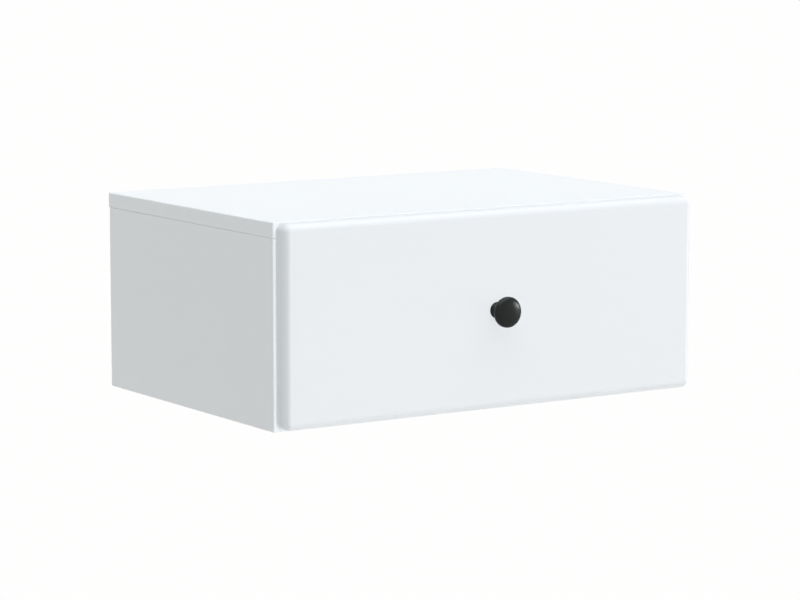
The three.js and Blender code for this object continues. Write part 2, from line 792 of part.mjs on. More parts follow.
// Flat arm with a round hub and a finger pad at its front end
function releaseLever(sign) {
  const tipY = leverPivotY - leverLength;
  const outline = polygon([
    ...arc([leverPivotY, runnerLift], leverHubRadius, -90, 90),
    ...arc([tipY, runnerLift], leverTipRadius, 90, 270),
  ]);
  const xs = [-1, 1].map((end) => sign * (innerHalfWidth - leverMidU) + end * leverThickness / 2);
  const padUs = [leverMidU, leverPinHeadU - leverPadHeight];
  const padXs = padUs.map((u) => sign * (innerHalfWidth - u)).sort((a, b) => a - b);
  const pad = block(...padXs, tipY - leverTipRadius / 2, tipY - leverTipRadius / 2 + leverPadLength,
    runnerLift - leverTipRadius / 2, runnerLift + leverTipRadius / 2);
  const holeStart = [xs[0] - cutOverrun, leverPivotY, runnerLift];
  const holeLength = leverThickness + 2 * cutOverrun;
  const hole = rod(leverPinRadius + holePlay, holeLength, boreSides, holeStart, [1, 0, 0]);
  return cut(join(alongX(outline, ...xs), [pad]), [hole]);
}

for (const { name, sign } of SIDES) {
  const cabinetWebSlots = memberSlots(sign, cabinetWebU, cabinetScrewYs.front, cabinetScrewYs.rear);
  const drawerWebSlots = memberSlots(sign, drawerWebU, leverPivotY, drawerScrewYs.rear);
  const cabinetHoles = Object.values(cabinetScrewYs).map(
    (y) => screwHole(runnerScrewLength, cabinetScrewStart(sign, y), [sign, 0, 0]),
  );
  addPart(`runner_cabinet_member_${name}`, cut(
    alongY(runnerSection(cabinetMemberHalf, runnerSheet, sign), runnerFrontY, runnerRearY),
    [...cabinetHoles, ...cabinetWebSlots],
  ), ZINC_STEEL);
  addPart(`runner_intermediate_member_${name}`, alongY(
    runnerSection(intermediateHalf, runnerSheet, sign), intermediateFrontY, intermediateRearY,
  ), ZINC_STEEL);
  addPart(`runner_drawer_member_${name}`, join(cut(
    alongY(runnerSection(drawerMemberHalf, runnerSheet, sign), runnerFrontY, runnerRearY),
    [...drawerScrewHoles(sign), ...drawerWebSlots],
  ), [leverPin(sign)]), ZINC_STEEL);
  addPart(`runner_outer_cage_${name}`, cage(outerCageHalf, outerBall, sign, outerCageMidY), BRIGHT_STEEL);
  addPart(`runner_inner_cage_${name}`, cage(innerCageHalf, innerBall, sign, innerCageMidY), BRIGHT_STEEL);
  addPart(`runner_release_lever_${name}`, releaseLever(sign), BLACK_PLASTIC);
  for (const [row, y] of Object.entries(cabinetScrewYs)) {
    const fixing = screw(runnerScrewLength, cabinetScrewStart(sign, y), [sign, 0, 0]);
    addPart(`cabinet_member_screw_${name}_${row}`, fixing, BRIGHT_STEEL);
  }
  for (const [row, y] of Object.entries(drawerScrewYs)) {
    const fixing = screw(runnerScrewLength, drawerScrewStart(sign, y), [-sign, 0, 0]);
    addPart(`drawer_member_screw_${name}_${row}`, fixing, BRIGHT_STEEL);
  }
}

export default nightstand;
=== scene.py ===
import json
import math

import bmesh
import bpy
from mathutils import Matrix, Vector
from mathutils.geometry import interpolate_bezier

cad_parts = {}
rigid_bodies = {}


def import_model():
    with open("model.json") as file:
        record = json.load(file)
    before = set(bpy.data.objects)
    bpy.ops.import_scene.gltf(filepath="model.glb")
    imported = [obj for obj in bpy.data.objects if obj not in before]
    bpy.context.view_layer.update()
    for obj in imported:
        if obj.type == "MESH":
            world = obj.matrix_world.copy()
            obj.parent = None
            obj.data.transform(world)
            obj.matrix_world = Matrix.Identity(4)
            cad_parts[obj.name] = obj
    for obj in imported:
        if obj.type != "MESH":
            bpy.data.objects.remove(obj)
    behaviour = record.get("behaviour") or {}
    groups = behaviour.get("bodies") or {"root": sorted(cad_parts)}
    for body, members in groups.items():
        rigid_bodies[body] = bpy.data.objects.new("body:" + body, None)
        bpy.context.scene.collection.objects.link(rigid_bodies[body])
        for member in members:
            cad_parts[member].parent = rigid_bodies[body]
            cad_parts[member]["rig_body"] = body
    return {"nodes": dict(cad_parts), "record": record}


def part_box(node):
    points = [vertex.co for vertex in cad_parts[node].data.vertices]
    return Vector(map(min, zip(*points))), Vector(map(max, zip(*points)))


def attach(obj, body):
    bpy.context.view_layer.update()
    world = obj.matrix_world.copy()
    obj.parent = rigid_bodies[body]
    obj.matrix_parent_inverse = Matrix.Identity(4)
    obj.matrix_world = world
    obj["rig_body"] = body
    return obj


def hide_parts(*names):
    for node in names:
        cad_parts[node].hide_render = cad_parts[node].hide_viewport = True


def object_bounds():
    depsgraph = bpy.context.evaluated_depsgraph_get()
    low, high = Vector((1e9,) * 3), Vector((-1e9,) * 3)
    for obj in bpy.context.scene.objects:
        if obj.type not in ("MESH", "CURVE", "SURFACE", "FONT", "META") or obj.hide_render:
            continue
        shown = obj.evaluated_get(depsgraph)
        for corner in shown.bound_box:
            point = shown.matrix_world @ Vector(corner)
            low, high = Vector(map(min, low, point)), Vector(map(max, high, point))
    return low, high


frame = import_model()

bl_info = {
    "name": "Floating nightstand",
    "version": (1, 0, 0),
    "blender": (4, 5, 0),
    "location": "3D View > Sidebar > Nightstand",
    "description": "Finishes a wall-hung white nightstand with one drawer on ball-bearing runners",
    "category": "Object",
}

CAD_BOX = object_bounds()
SLOT_OF_NODE = {part["node"]: part["material_slot"] for part in frame["record"]["subparts"]}
SIDES = {"left": -1, "right": 1}
ROWS = ("front", "rear")
X, Y, Z = 0, 1, 2
WHITE = (1, 1, 1, 1)

# Places on the carcase, read from its boards
SIDE_INNER_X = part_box("right_side_panel")[0].x
SIDE_OUTER_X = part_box("right_side_panel")[1].x
CARCASE_FRONT_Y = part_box("top_panel")[0].y
FRONT_LOW, FRONT_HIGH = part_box("drawer_front")
FRONT_MID_Z = (FRONT_LOW.z + FRONT_HIGH.z) / 2
RUNNER_LOW, RUNNER_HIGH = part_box("runner_cabinet_member_right")
RUNNER_Z = (RUNNER_LOW.z + RUNNER_HIGH.z) / 2

# Clearances, the reach of a cutting tool past the face that it opens, and how finely holes are drawn
HOLE_PLAY = 0.0003
GROOVE_PLAY = 0.00025
OVERRUN = 0.001
MERGE = 0.000001
HOLE_SIDES = 24

# Boards, drawer front and drawer box
BOARD_SHARP = 50
FRONT_STEPS = 14
BOX_EDGE_RADIUS = 0.004
BOX_GROOVE_DEPTH = 0.006

# Knob, as (radius, reach) stations from the drawer front
KNOB_FOOT = (0.0085, 0.002)
KNOB_NECK = (0.0056, 0.0095)
KNOB_FLARE = (0.0085, 0.0145)
KNOB_HEAD_RADIUS = 0.016
KNOB_UNDER_REACH = 0.0177
KNOB_RIM_REACH = 0.020
KNOB_HEIGHT = 0.025
KNOB_CROWN_POWER = 2.6
KNOB_SOFT_EDGE = 0.0005
KNOB_BORE_DEPTH = 0.010
KNOB_SIDES = 96
KNOB_SHARP = 50

# Runner sections: u from the side panel to the drawer side, v from mid-height
RUNNER_WIDTH = 0.0127
RUNNER_SHEET = 0.0012
BALL_RADIUS = 0.002
RACE_PLAY = 0.0003
OUTER_BALL = (0.0044, 0.019)
RACE_TURN = -45
WEB_GAP = 0.0013
CAGE_SHEET = 0.0005
CAGE_GRIP = 0.9
CAGE_END = 0.003
WINDOW_PLAY = 0.00015
LIP_DEGREES = 20
SHOULDER_DEGREES = 140
DRAWER_SHOULDER_DEGREES = 320
DRAWER_LIP_DEGREES = 215
SLOT_LENGTH = 0.016
SLOT_WIDTH = 0.005
SLOT_PITCH = 0.060
SLOT_MARGIN = 0.012
BUFFER_LENGTH = 0.0052
BUFFER_WIDTH = 0.0035
BUFFER_HEIGHT = 0.022
BUFFER_EDGE = 0.0006

# Release lever
LEVER_THICKNESS = 0.002
LEVER_HUB_RADIUS = 0.005
LEVER_TIP_RADIUS = 0.004
LEVER_PIN_RADIUS = 0.0018
LEVER_BORE = LEVER_PIN_RADIUS + HOLE_PLAY
LEVER_PIN_HEAD = (0.003, 0.0012)
LEVER_PAD_LENGTH = 0.012
LEVER_PAD_EDGE = 0.0004
LEVER_RIB_WIDTH = 0.0009
LEVER_RIB_DEPTH = 0.0007

# Bent rails
RAIL_SHEET = 0.002
RAIL_OFFSET = 0.005
RAIL_LIP = 0.0097
HOOK_HEIGHT = 0.010
RAIL_BEND = 0.0022
RAIL_HOLE_INSET = 0.035
WALL_SLOT_RISE = 0.009
WALL_SLOT_LENGTH = 0.014
WALL_SLOT_WIDTH = 0.006
RAIL_SHARP = 30

# Screws
FRONT_SCREWS = [f"front_screw_{side}" for side in SIDES]
RAIL_SCREWS = [f"rail_screw_{side}" for side in SIDES]
SCREW_SHANK = 0.00175
SCREW_HEAD = 0.0034
SCREW_HEAD_DEPTH = 0.0022
KNOB_SCREW_SHANK = 0.002
KNOB_SCREW_HEAD = 0.004
KNOB_SCREW_HEAD_HEIGHT = 0.0024
KNOB_BORE = KNOB_SCREW_SHANK + HOLE_PLAY
CROSS_LENGTH = 0.0038
CROSS_WIDTH = 0.0009
CROSS_DEPTH = 0.0015
CROSS_TAPER = 0.55
SMALL_SIDES = 32

# Bumpers between the carcase and the drawer front, and the heights of the two on each side
BUMPER_RADIUS = 0.004
BUMPER_HEIGHT = 0.0007
BUMPER_RISES = (0.023, -0.112)

# Stage
LAMP_DISTANCE = 3
SENSOR_WIDTH = 36
VIEW_END = 100


# Selecting and shaping

def deselect():
    bpy.ops.object.select_all(action="DESELECT")


def only(piece):
    """Selects one object alone and makes it the active one."""
    deselect()
    piece.select_set(True)
    bpy.context.view_layer.objects.active = piece


def settle(piece, name=None):
    """Puts a piece's place into its mesh, so that its object sits at the origin."""
    if name:
        piece.name = piece.data.name = name
    only(piece)
    bpy.ops.object.transform_apply(location=True, rotation=True, scale=True)
    return piece


def cube(name, low, high):
    """A box between two corners, to be shaped further."""
    deselect()
    low, high = Vector(low), Vector(high)
    bpy.ops.mesh.primitive_cube_add(size=1, location=(low + high) / 2, scale=high - low)
    return settle(bpy.context.object, name)


def edit(piece, mode):
    """Opens a piece in edit mode with nothing selected."""
    only(piece)
    bpy.ops.object.mode_set(mode="EDIT")
    bpy.ops.mesh.select_mode(type=mode)
    bpy.ops.mesh.select_all(action="DESELECT")


def close():
    bpy.ops.object.mode_set(mode="OBJECT")


def pick(piece, kind, test):
    """Selects the vertices, edges or faces that pass a test on their place or normal."""
    mesh = bmesh.from_edit_mesh(piece.data)
    for element in getattr(mesh, kind):
        if test(element):
            element.select_set(True)
    mesh.select_flush_mode()
    bmesh.update_edit_mesh(piece.data)


def runs_along(edge, axis):
    """True for an edge that lies along one axis."""
    a, b = (vertex.co for vertex in edge.verts)
    return all(abs(a[i] - b[i]) < MERGE for i in range(3) if i != axis)


def lies_at(edge, axis, place):
    """True for an edge whose two ends lie in one plane square to an axis."""
    return all(abs(vertex.co[axis] - place) < MERGE for vertex in edge.verts)


def bevel(piece, test, width, segments):
    """Rounds the edges that pass a test."""
    edit(piece, "EDGE")
    pick(piece, "edges", test)
    bpy.ops.mesh.bevel(offset=width, segments=segments, profile=0.5, affect="EDGES", clamp_overlap=False)
    close()


def add_modifier(piece, kind, **settings):
    """Adds a modifier, sets it and applies it."""
    only(piece)
    bpy.ops.object.modifier_add(type=kind)
    modifier = piece.modifiers[-1]
    for name, value in settings.items():
        setattr(modifier, name, value)
    bpy.ops.object.modifier_apply(modifier=modifier.name)


def joined(pieces):
    """Several objects made one, under the first one's name."""
    only(pieces[0])
    for piece in pieces[1:]:
        piece.select_set(True)
    if len(pieces) > 1:
        bpy.ops.object.join()
    return pieces[0]


def combine(piece, tools, operation="DIFFERENCE"):
    """Cuts tools out of a piece, or unites them with it, and removes the tools."""
    tool = joined(tools)
    add_modifier(piece, "BOOLEAN", operation=operation, solver="EXACT", object=tool)
    bpy.data.objects.remove(tool, do_unlink=True)
    return piece


def face_out(piece):
    """Merges double vertices and turns every face outwards."""
    edit(piece, "VERT")
    bpy.ops.mesh.select_all(action="SELECT")
    bpy.ops.mesh.remove_doubles(threshold=MERGE)
    bpy.ops.mesh.normals_make_consistent(inside=False)
    close()
    return piece


def facing(origin, direction):
    """The placement that carries the origin to a point and +Z to a direction."""
    turn = Vector(direction).to_track_quat("Z", "Y").to_matrix().to_4x4()
    return Matrix.Translation(origin) @ turn


def turned(name, profile, origin, direction, sides):
    """A round piece drawn ring by ring from (radius, reach) stations along a direction."""
    deselect()
    radius, reach = profile[0]
    bpy.ops.mesh.primitive_circle_add(
        vertices=sides, radius=radius, fill_type="NGON", location=(0, 0, reach))
    piece = bpy.context.object
    bpy.ops.object.mode_set(mode="EDIT")
    for next_radius, next_reach in profile[1:]:
        share = next_radius / radius
        bpy.ops.mesh.extrude_region_move(TRANSFORM_OT_translate={"value": (0, 0, next_reach - reach)})
        bpy.ops.transform.resize(value=(share, share, 1), center_override=(0, 0, next_reach))
        radius, reach = next_radius, next_reach
    close()
    settle(piece)
    piece.matrix_world = facing(origin, direction)
    return face_out(settle(piece, name))


def drawn(name, points):
    """An open line of edges through points in space, drawn one point at a time."""
    deselect()
    bpy.ops.mesh.primitive_plane_add(size=RUNNER_SHEET, location=points[0])
    piece = bpy.context.object
    bpy.ops.object.mode_set(mode="EDIT")
    bpy.ops.mesh.select_mode(type="VERT")
    bpy.ops.mesh.select_all(action="SELECT")
    bpy.ops.mesh.merge(type="CENTER")
    for start, end in zip(points, points[1:]):
        step = Vector(end) - Vector(start)
        bpy.ops.mesh.extrude_vertices_move(TRANSFORM_OT_translate={"value": step})
    close()
    return settle(piece, name)


def sheet_strip(name, points, reach, sheet):
    """Sheet metal bent along a line of points and drawn out by a vector."""
    piece = drawn(name, points)
    edit(piece, "EDGE")
    bpy.ops.mesh.select_all(action="SELECT")
    bpy.ops.mesh.extrude_edges_move(TRANSFORM_OT_translate={"value": reach})
    bpy.ops.mesh.select_all(action="SELECT")
    bpy.ops.mesh.normals_make_consistent(inside=False)
    close()
    add_modifier(piece, "SOLIDIFY", thickness=sheet, offset=0, use_even_offset=True)
    return face_out(piece)


def plate(name, points, reach):
    """A flat plate from a closed outline, drawn out by a vector."""
    piece = drawn(name, points)
    edit(piece, "VERT")
    bpy.ops.mesh.select_all(action="SELECT")
    bpy.ops.mesh.edge_face_add()
    bpy.ops.mesh.extrude_region_move(TRANSFORM_OT_translate={"value": reach})
    close()
    return face_out(piece)


def bore(radius, start, end, seat, direction):
    """A round cutter between two reaches along a direction."""
    return turned("bore", [(radius, start), (radius, end)], seat, direction, HOLE_SIDES)


def slot_tool(low, high, axis, segments=10):
    """A cutter for a slot with round ends that goes through along one axis."""
    tool = cube("slot_tool", low, high)
    spans = [high[i] - low[i] for i in range(3) if i != axis]
    bevel(tool, lambda edge: runs_along(edge, axis), min(spans) / 2 - MERGE, segments)
    return tool


# Lines and curves

def arc(centre, radius, start, end, steps):
    """Points on an arc between two angles in degrees."""
    angles = [math.radians(start + (end - start) * i / steps) for i in range(steps + 1)]
    return [(centre[0] + radius * math.cos(a), centre[1] + radius * math.sin(a)) for a in angles]


def rounded_line(points, radius, steps=6):
    """A line of points whose inner corners are rounded."""
    line = [points[0]]
    for before, corner, after in zip(points, points[1:], points[2:]):
        corner = Vector(corner)
        back = (Vector(before) - corner).normalized()
        ahead = (Vector(after) - corner).normalized()
        half = back.angle(ahead) / 2
        setback = radius / math.tan(half)
        hub = corner + (back + ahead).normalized() * (radius / math.sin(half))
        start = (corner + back * setback - hub).normalized()
        end = (corner + ahead * setback - hub).normalized()
        line += [tuple(hub + start.slerp(end, i / steps) * radius) for i in range(steps + 1)]
    return line + [points[-1]]


def ease(start, start_pull, end_pull, end, steps=10):
    """Points on a smooth curve between two stations of a profile."""
    points = interpolate_bezier(*(Vector((*p, 0)) for p in (start, start_pull, end_pull, end)), steps)
    return [(p.x, p.y) for p in points]


# Shaders

class Wire:
    """A shader socket that takes part in Python sums."""

    def __init__(self, shader, socket):
        self.shader = shader
        self.socket = socket

    def __add__(self, other):
        return self.shader.sum("ADD", self, other)

    def __radd__(self, other):
        return self.shader.sum("ADD", other, self)

    def __sub__(self, other):
        return self.shader.sum("SUBTRACT", self, other)

    def __rsub__(self, other):
        return self.shader.sum("SUBTRACT", other, self)

    def __mul__(self, other):
        return self.shader.sum("MULTIPLY", self, other)

    def __rmul__(self, other):
        return self.shader.sum("MULTIPLY", other, self)

    def __gt__(self, other):
        return self.shader.sum("GREATER_THAN", self, other)

    def __lt__(self, other):
        return self.shader.sum("LESS_THAN", self, other)

    def __abs__(self):
        return self.shader.sum("ABSOLUTE", self, 0)


class Shader:
    """A node tree under construction."""

    def __init__(self, tree):
        self.tree = tree
        tree.nodes.clear()

    def node(self, kind, settings=None, sockets=None, output=0):
        """Adds a node, makes its settings, then fills its sockets with values or links."""
        made = self.tree.nodes.new(kind)
        for name, value in (settings or {}).items():
            setattr(made, name, value)
        for name, value in (sockets or {}).items():
            if isinstance(value, Wire):
                self.tree.links.new(value.socket, made.inputs[name])
            else:
                made.inputs[name].default_value = value
        return Wire(self, made.outputs[output]) if made.outputs else made

    def sum(self, operation, first, second):
        return self.node("ShaderNodeMath", {"operation": operation}, {0: first, 1: second})

    def place(self, stretch=(1, 1, 1)):
        """Object coordinates, drawn out along the axes."""
        place = self.node("ShaderNodeTexCoord", output="Object")
        sockets = {0: place, 1: stretch}
        return self.node("ShaderNodeVectorMath", {"operation": "MULTIPLY"}, sockets)

    def axis(self, name):
        return self.node("ShaderNodeSeparateXYZ", sockets={0: self.place()}, output=name)

    def noise(self, scale, detail=2, stretch=(1, 1, 1)):
        sockets = {"Vector": self.place(stretch), "Scale": scale, "Detail": detail}
        return self.node("ShaderNodeTexNoise", sockets=sockets, output="Fac")

    def cells(self, scale, stretch=(1, 1, 1)):
        sockets = {"Vector": self.place(stretch), "Scale": scale}
        return self.node("ShaderNodeTexVoronoi", sockets=sockets, output="Distance")

    def blend(self, share, first, second):
        """A colour between two colours."""
        return self.node("ShaderNodeMix", {"data_type": "RGBA"}, {0: share, 6: first, 7: second}, 2)

    def mottled(self, share, colour, dark, light):
        """A stored colour that goes from a darker to a lighter share of itself."""
        return self.blend(share, tone(colour, dark), tone(colour, light))

    def bump(self, height, distance, strength):
        sockets = {"Height": height, "Distance": distance, "Strength": strength}
        return self.node("ShaderNodeBump", sockets=sockets)

    def surface(self, **sockets):
        """Ends the tree in one principled surface; the sockets' names are written with underscores."""
        named = {name.replace("_", " "): value for name, value in sockets.items()}
        named = {name.replace("Ior", "IOR"): value for name, value in named.items()}
        shaded = self.node("ShaderNodeBsdfPrincipled", sockets=named)
        self.node("ShaderNodeOutputMaterial", sockets={"Surface": shaded})


def tone(colour, share=1.0):
    """A stored colour as a shader colour, lighter or darker by a share."""
    return (*(channel * share for channel in colour), 1.0)


def seam(shader, coordinate, place, width):
    """One on a thin line across a coordinate and nought elsewhere."""
    return abs(coordinate - place) < width / 2


def white_foil_board(shader, looks):
    """Smooth white foil on chipboard, with glued edge bands on the front and on the top's ends."""
    x, y = shader.axis("X"), shader.axis("Y")
    band = looks.edge_band
    line = looks.edge_band_line
    front_seam = seam(shader, y, CARCASE_FRONT_Y + band, line)
    end_seam = seam(shader, abs(x), SIDE_OUTER_X - band, line)
    cloud = shader.noise(9, 2)
    pores = shader.noise(1900, 3)
    seams = (front_seam + end_seam) * 0.5
    base = shader.mottled(cloud, looks.foil, 0.992, 1.008)
    colour = shader.blend(seams, base, tone(looks.foil, 0.8))
    shader.surface(
        Base_Color=colour,
        Roughness=0.40 + cloud * 0.08 + pores * 0.05,
        Specular_Ior_Level=0.4,
        Normal=shader.bump(pores - seams, 0.00002, 0.35),
    )


def white_lacquer(shader, looks):
    """Satin white foil rolled over the drawer front, with a faint orange peel. Its white is set darker
    than the carcase foil as painted shade, so that the front reads darker than the top.
    """
    peel = shader.noise(420, 2)
    grain = shader.noise(2600, 2)
    cloud = shader.noise(7, 2)
    shader.surface(
        # Painted shade: the front's white is darker than the carcase foil, so that the front reads darker
        # than the lit top
        Base_Color=shader.mottled(cloud, looks.lacquer, 0.995, 1.005),
        Roughness=0.34 + cloud * 0.06 + grain * 0.05,
        Specular_Ior_Level=0.3,
        Normal=shader.bump(peel + grain * 0.3, 0.00002, 0.3),
    )


def white_drawer_board(shader, looks):
    """Matt white paper foil with fine pores along the length of the board."""
    pores = shader.noise(900, 3, (1, 0.25, 1))
    cloud = shader.noise(12, 2)
    shader.surface(
        Base_Color=shader.mottled(cloud, looks.drawer_board, 0.985, 1.01),
        Roughness=0.5 + pores * 0.15,
        Specular_Ior_Level=0.35,
        Normal=shader.bump(pores, 0.00004, 0.4),
    )


def white_fibreboard(shader, looks):
    """Thin painted fibreboard whose short fibres print through the paint."""
    fibres = shader.noise(350, 4, (1, 0.35, 1))
    specks = shader.cells(700)
    shader.surface(
        Base_Color=shader.mottled(fibres, looks.fibreboard, 0.96, 1.02),
        Roughness=0.58 + fibres * 0.15,
        Specular_Ior_Level=0.3,
        Normal=shader.bump(fibres + specks * 0.3, 0.00006, 0.5),
    )


def black_metal(shader, looks):
    """Satin black coating over metal, with a very fine powder texture."""
    powder = shader.noise(2400, 3)
    cloud = shader.noise(60, 2)
    shader.surface(
        Base_Color=shader.mottled(cloud, looks.black, 0.85, 1.15),
        Roughness=looks.black_roughness + powder * 0.08 + cloud * 0.04,
        Specular_Ior_Level=0.2,
        Normal=shader.bump(powder, 0.00002, 0.35),
    )


def zinc_plated_steel(shader, looks):
    """Rolled sheet steel with bright zinc plating, brushed faintly along its length."""
    rolling = shader.noise(1100, 2, (1, 0.03, 1))
    bloom = shader.noise(45, 4)
    shader.surface(
        Base_Color=shader.mottled(bloom, looks.zinc, 0.86, 1.05),
        Metallic=1.0,
        Roughness=0.24 + bloom * 0.16 + rolling * 0.08,
        Normal=shader.bump(rolling, 0.00002, 0.3),
    )


def bright_steel(shader, looks):
    """Bright plated steel, as on screws, dowels and balls."""
    bloom = shader.noise(220, 2)
    shader.surface(
        Base_Color=shader.mottled(bloom, looks.steel, 0.92, 1.04),
        Metallic=1.0,
        Roughness=0.14 + bloom * 0.12,
    )


def die_cast_zinc(shader, looks):
    """Dull cast zinc with a flowing, slightly pitted skin."""
    skin = shader.noise(380, 4)
    pits = shader.cells(1100)
    shader.surface(
        Base_Color=shader.mottled(skin, looks.casting, 0.82, 1.1),
        Metallic=1.0,
        Roughness=0.38 + skin * 0.2,
        Normal=shader.bump(skin + pits * 0.4, 0.00005, 0.5),
    )


def black_plastic(shader, looks):
    """Moulded plastic with a fine spark-eroded grain."""
    grain = shader.noise(2800, 3)
    shader.surface(
        Base_Color=shader.mottled(grain, looks.plastic, 0.85, 1.2),
        Roughness=0.5 + grain * 0.15,
        Specular_Ior_Level=0.4,
        Normal=shader.bump(grain, 0.00003, 0.5),
    )


FINISHES = (
    white_foil_board,
    white_lacquer,
    white_drawer_board,
    white_fibreboard,
    black_metal,
    zinc_plated_steel,
    bright_steel,
    die_cast_zinc,
    black_plastic,
)


def finish_of(slot):
    """The material of a finish, made when it is first asked for."""
    name = f"{slot}_finish"
    if name in bpy.data.materials:
        return bpy.data.materials[name]
    material = bpy.data.materials.new(name)
    material.use_nodes = True
    maker = next(maker for maker in FINISHES if maker.__name__ == slot)
    maker(Shader(material.node_tree), bpy.context.scene.nightstand_looks)
    return material


def dress(piece, slot, body, *nodes, angle=35):
    """Shades a new piece, gives it its finish and hands it to the body that carries it."""
    only(piece)
    bpy.ops.object.shade_smooth_by_angle(angle=math.radians(angle))
    add_modifier(piece, "WEIGHTED_NORMAL", keep_sharp=True)
    piece.data.materials.clear()
    piece.data.materials.append(finish_of(slot))
    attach(piece, body)
    if nodes:
        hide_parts(*nodes)
    return piece


def stand_for(piece, node, angle=35):
    """Dresses a piece that stands for one node of the frame, with that node's body and finish."""
    return dress(piece, SLOT_OF_NODE[node], frame["nodes"][node]["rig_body"], node, angle=angle)


# Fasteners, modelled once in their own frame: the head's face at the origin, the shank along +Z

def cross_tool():
    """A cutter for a cross recess, narrower at its floor."""
    half_length, half_width = CROSS_LENGTH / 2, CROSS_WIDTH / 2
    arms = []
    for across, along in ((half_length, half_width), (half_width, half_length)):
        arm = cube("recess", (-across, -along, -OVERRUN), (across, along, CROSS_DEPTH))
        edit(arm, "FACE")
        pick(arm, "faces", lambda face: face.normal.z > 0.5)
        bpy.ops.transform.resize(value=(CROSS_TAPER, CROSS_TAPER, 1), center_override=(0, 0, CROSS_DEPTH))
        close()
        arms.append(arm)
    return combine(arms[0], arms[1:], "UNION")


def wood_screw(length):
    """A countersunk screw with a cross recess."""
    rim = SCREW_HEAD - SCREW_HEAD_DEPTH * 0.04
    screw = turned("screw", [
        (rim, 0),
        (SCREW_HEAD, SCREW_HEAD_DEPTH * 0.05),
        (SCREW_HEAD, SCREW_HEAD_DEPTH * 0.12),
        (SCREW_SHANK, SCREW_HEAD_DEPTH),
        (SCREW_SHANK, length - SCREW_SHANK * 2),
        (SCREW_SHANK * 0.06, length),
    ], (0, 0, 0), (0, 0, 1), SMALL_SIDES)
    return combine(screw, [cross_tool()])


def knob_screw(length):
    """A pan-head machine screw with a cross recess."""
    crown = [
        (KNOB_SCREW_HEAD * math.cos(a) ** 0.6, -KNOB_SCREW_HEAD_HEIGHT * math.sin(a))
        for a in (math.radians(step) for step in (84, 70, 55, 40, 25, 10, 0))
    ]
    screw = turned("screw", [
        *crown,
        (KNOB_SCREW_SHANK, 0),
        (KNOB_SCREW_SHANK, length - KNOB_SCREW_SHANK / 4),
        (KNOB_SCREW_SHANK * 0.75, length),
    ], (0, 0, 0), (0, 0, 1), SMALL_SIDES)
    tool = cross_tool()
    tool.location.z = -KNOB_SCREW_HEAD_HEIGHT
    return combine(screw, [settle(tool)])


def placed_copy(master, name, origin, direction):
    """A copy of a master piece with its own mesh, set at a point and along a direction."""
    copy = bpy.data.objects.new(name, master.data.copy())
    bpy.context.collection.objects.link(copy)
    copy.matrix_world = facing(origin, direction)
    return settle(copy, name)


def screw_hole(length, origin, direction):
    """A cutter for the countersunk hole that a screw sits in."""
    return turned("screw_hole", [
        (SCREW_HEAD + HOLE_PLAY, -OVERRUN),
        (SCREW_HEAD + HOLE_PLAY, 0),
        (SCREW_SHANK + HOLE_PLAY, SCREW_HEAD_DEPTH),
        (SCREW_SHANK + HOLE_PLAY, length + HOLE_PLAY),
    ], origin, direction, HOLE_SIDES)


def screw_place(node, axis, sign):
    """Head point, direction and length of a screw that runs along an axis."""
    low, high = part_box(node)
    start = (low + high) / 2
    start[axis] = low[axis] if sign > 0 else high[axis]
    direction = Vector((0, 0, 0))
    direction[axis] = sign
    return start, direction, high[axis] - low[axis]


def screw_holes(nodes, axis, sign):
    """Cutters for the holes of the screws that these nodes are."""
    places = [screw_place(node, axis, sign) for node in nodes]
    return [screw_hole(length, start, direction) for start, direction, length in places]


def knob_hole(low, high):
    """A cutter for the knob screw's hole through a board, from its front to its rear."""
    through = high.y - low.y + 2 * OVERRUN
    return bore(KNOB_BORE, 0, through, (0, low.y - OVERRUN, FRONT_MID_Z), (0, 1, 0))


# Pieces of the nightstand

def make_boards(sizes):
    """Softens the boards' edges and gives every carried-over node its finish."""
    for name, node in frame["nodes"].items():
        node.data.materials.clear()
        node.data.materials.append(finish_of(SLOT_OF_NODE[name]))
        if SLOT_OF_NODE[name] == "white_foil_board" or name == "back_panel":
            weld = node.modifiers.new("Merged corners", "WELD")
            weld.merge_threshold = MERGE
            soft = node.modifiers.new("Soft edges", "BEVEL")
            soft.width = sizes.top_edge if name == "top_panel" else sizes.board_edge
            soft.segments = 2
            soft.limit_method = "ANGLE"
            soft.angle_limit = math.radians(BOARD_SHARP)
            soft.use_clamp_overlap = False


def make_front(sizes):
    """The drawer front: rounded corners, then its front edges rolled over."""
    low, high = FRONT_LOW, FRONT_HIGH
    front = cube("front_slab", low, high)
    bevel(front, lambda edge: runs_along(edge, Y), sizes.front_corner, FRONT_STEPS)
    bevel(front, lambda edge: lies_at(edge, Y, low.y), sizes.front_edge, FRONT_STEPS)
    combine(front, [knob_hole(low, high), *screw_holes(FRONT_SCREWS, Y, -1)])
    stand_for(front, "drawer_front")


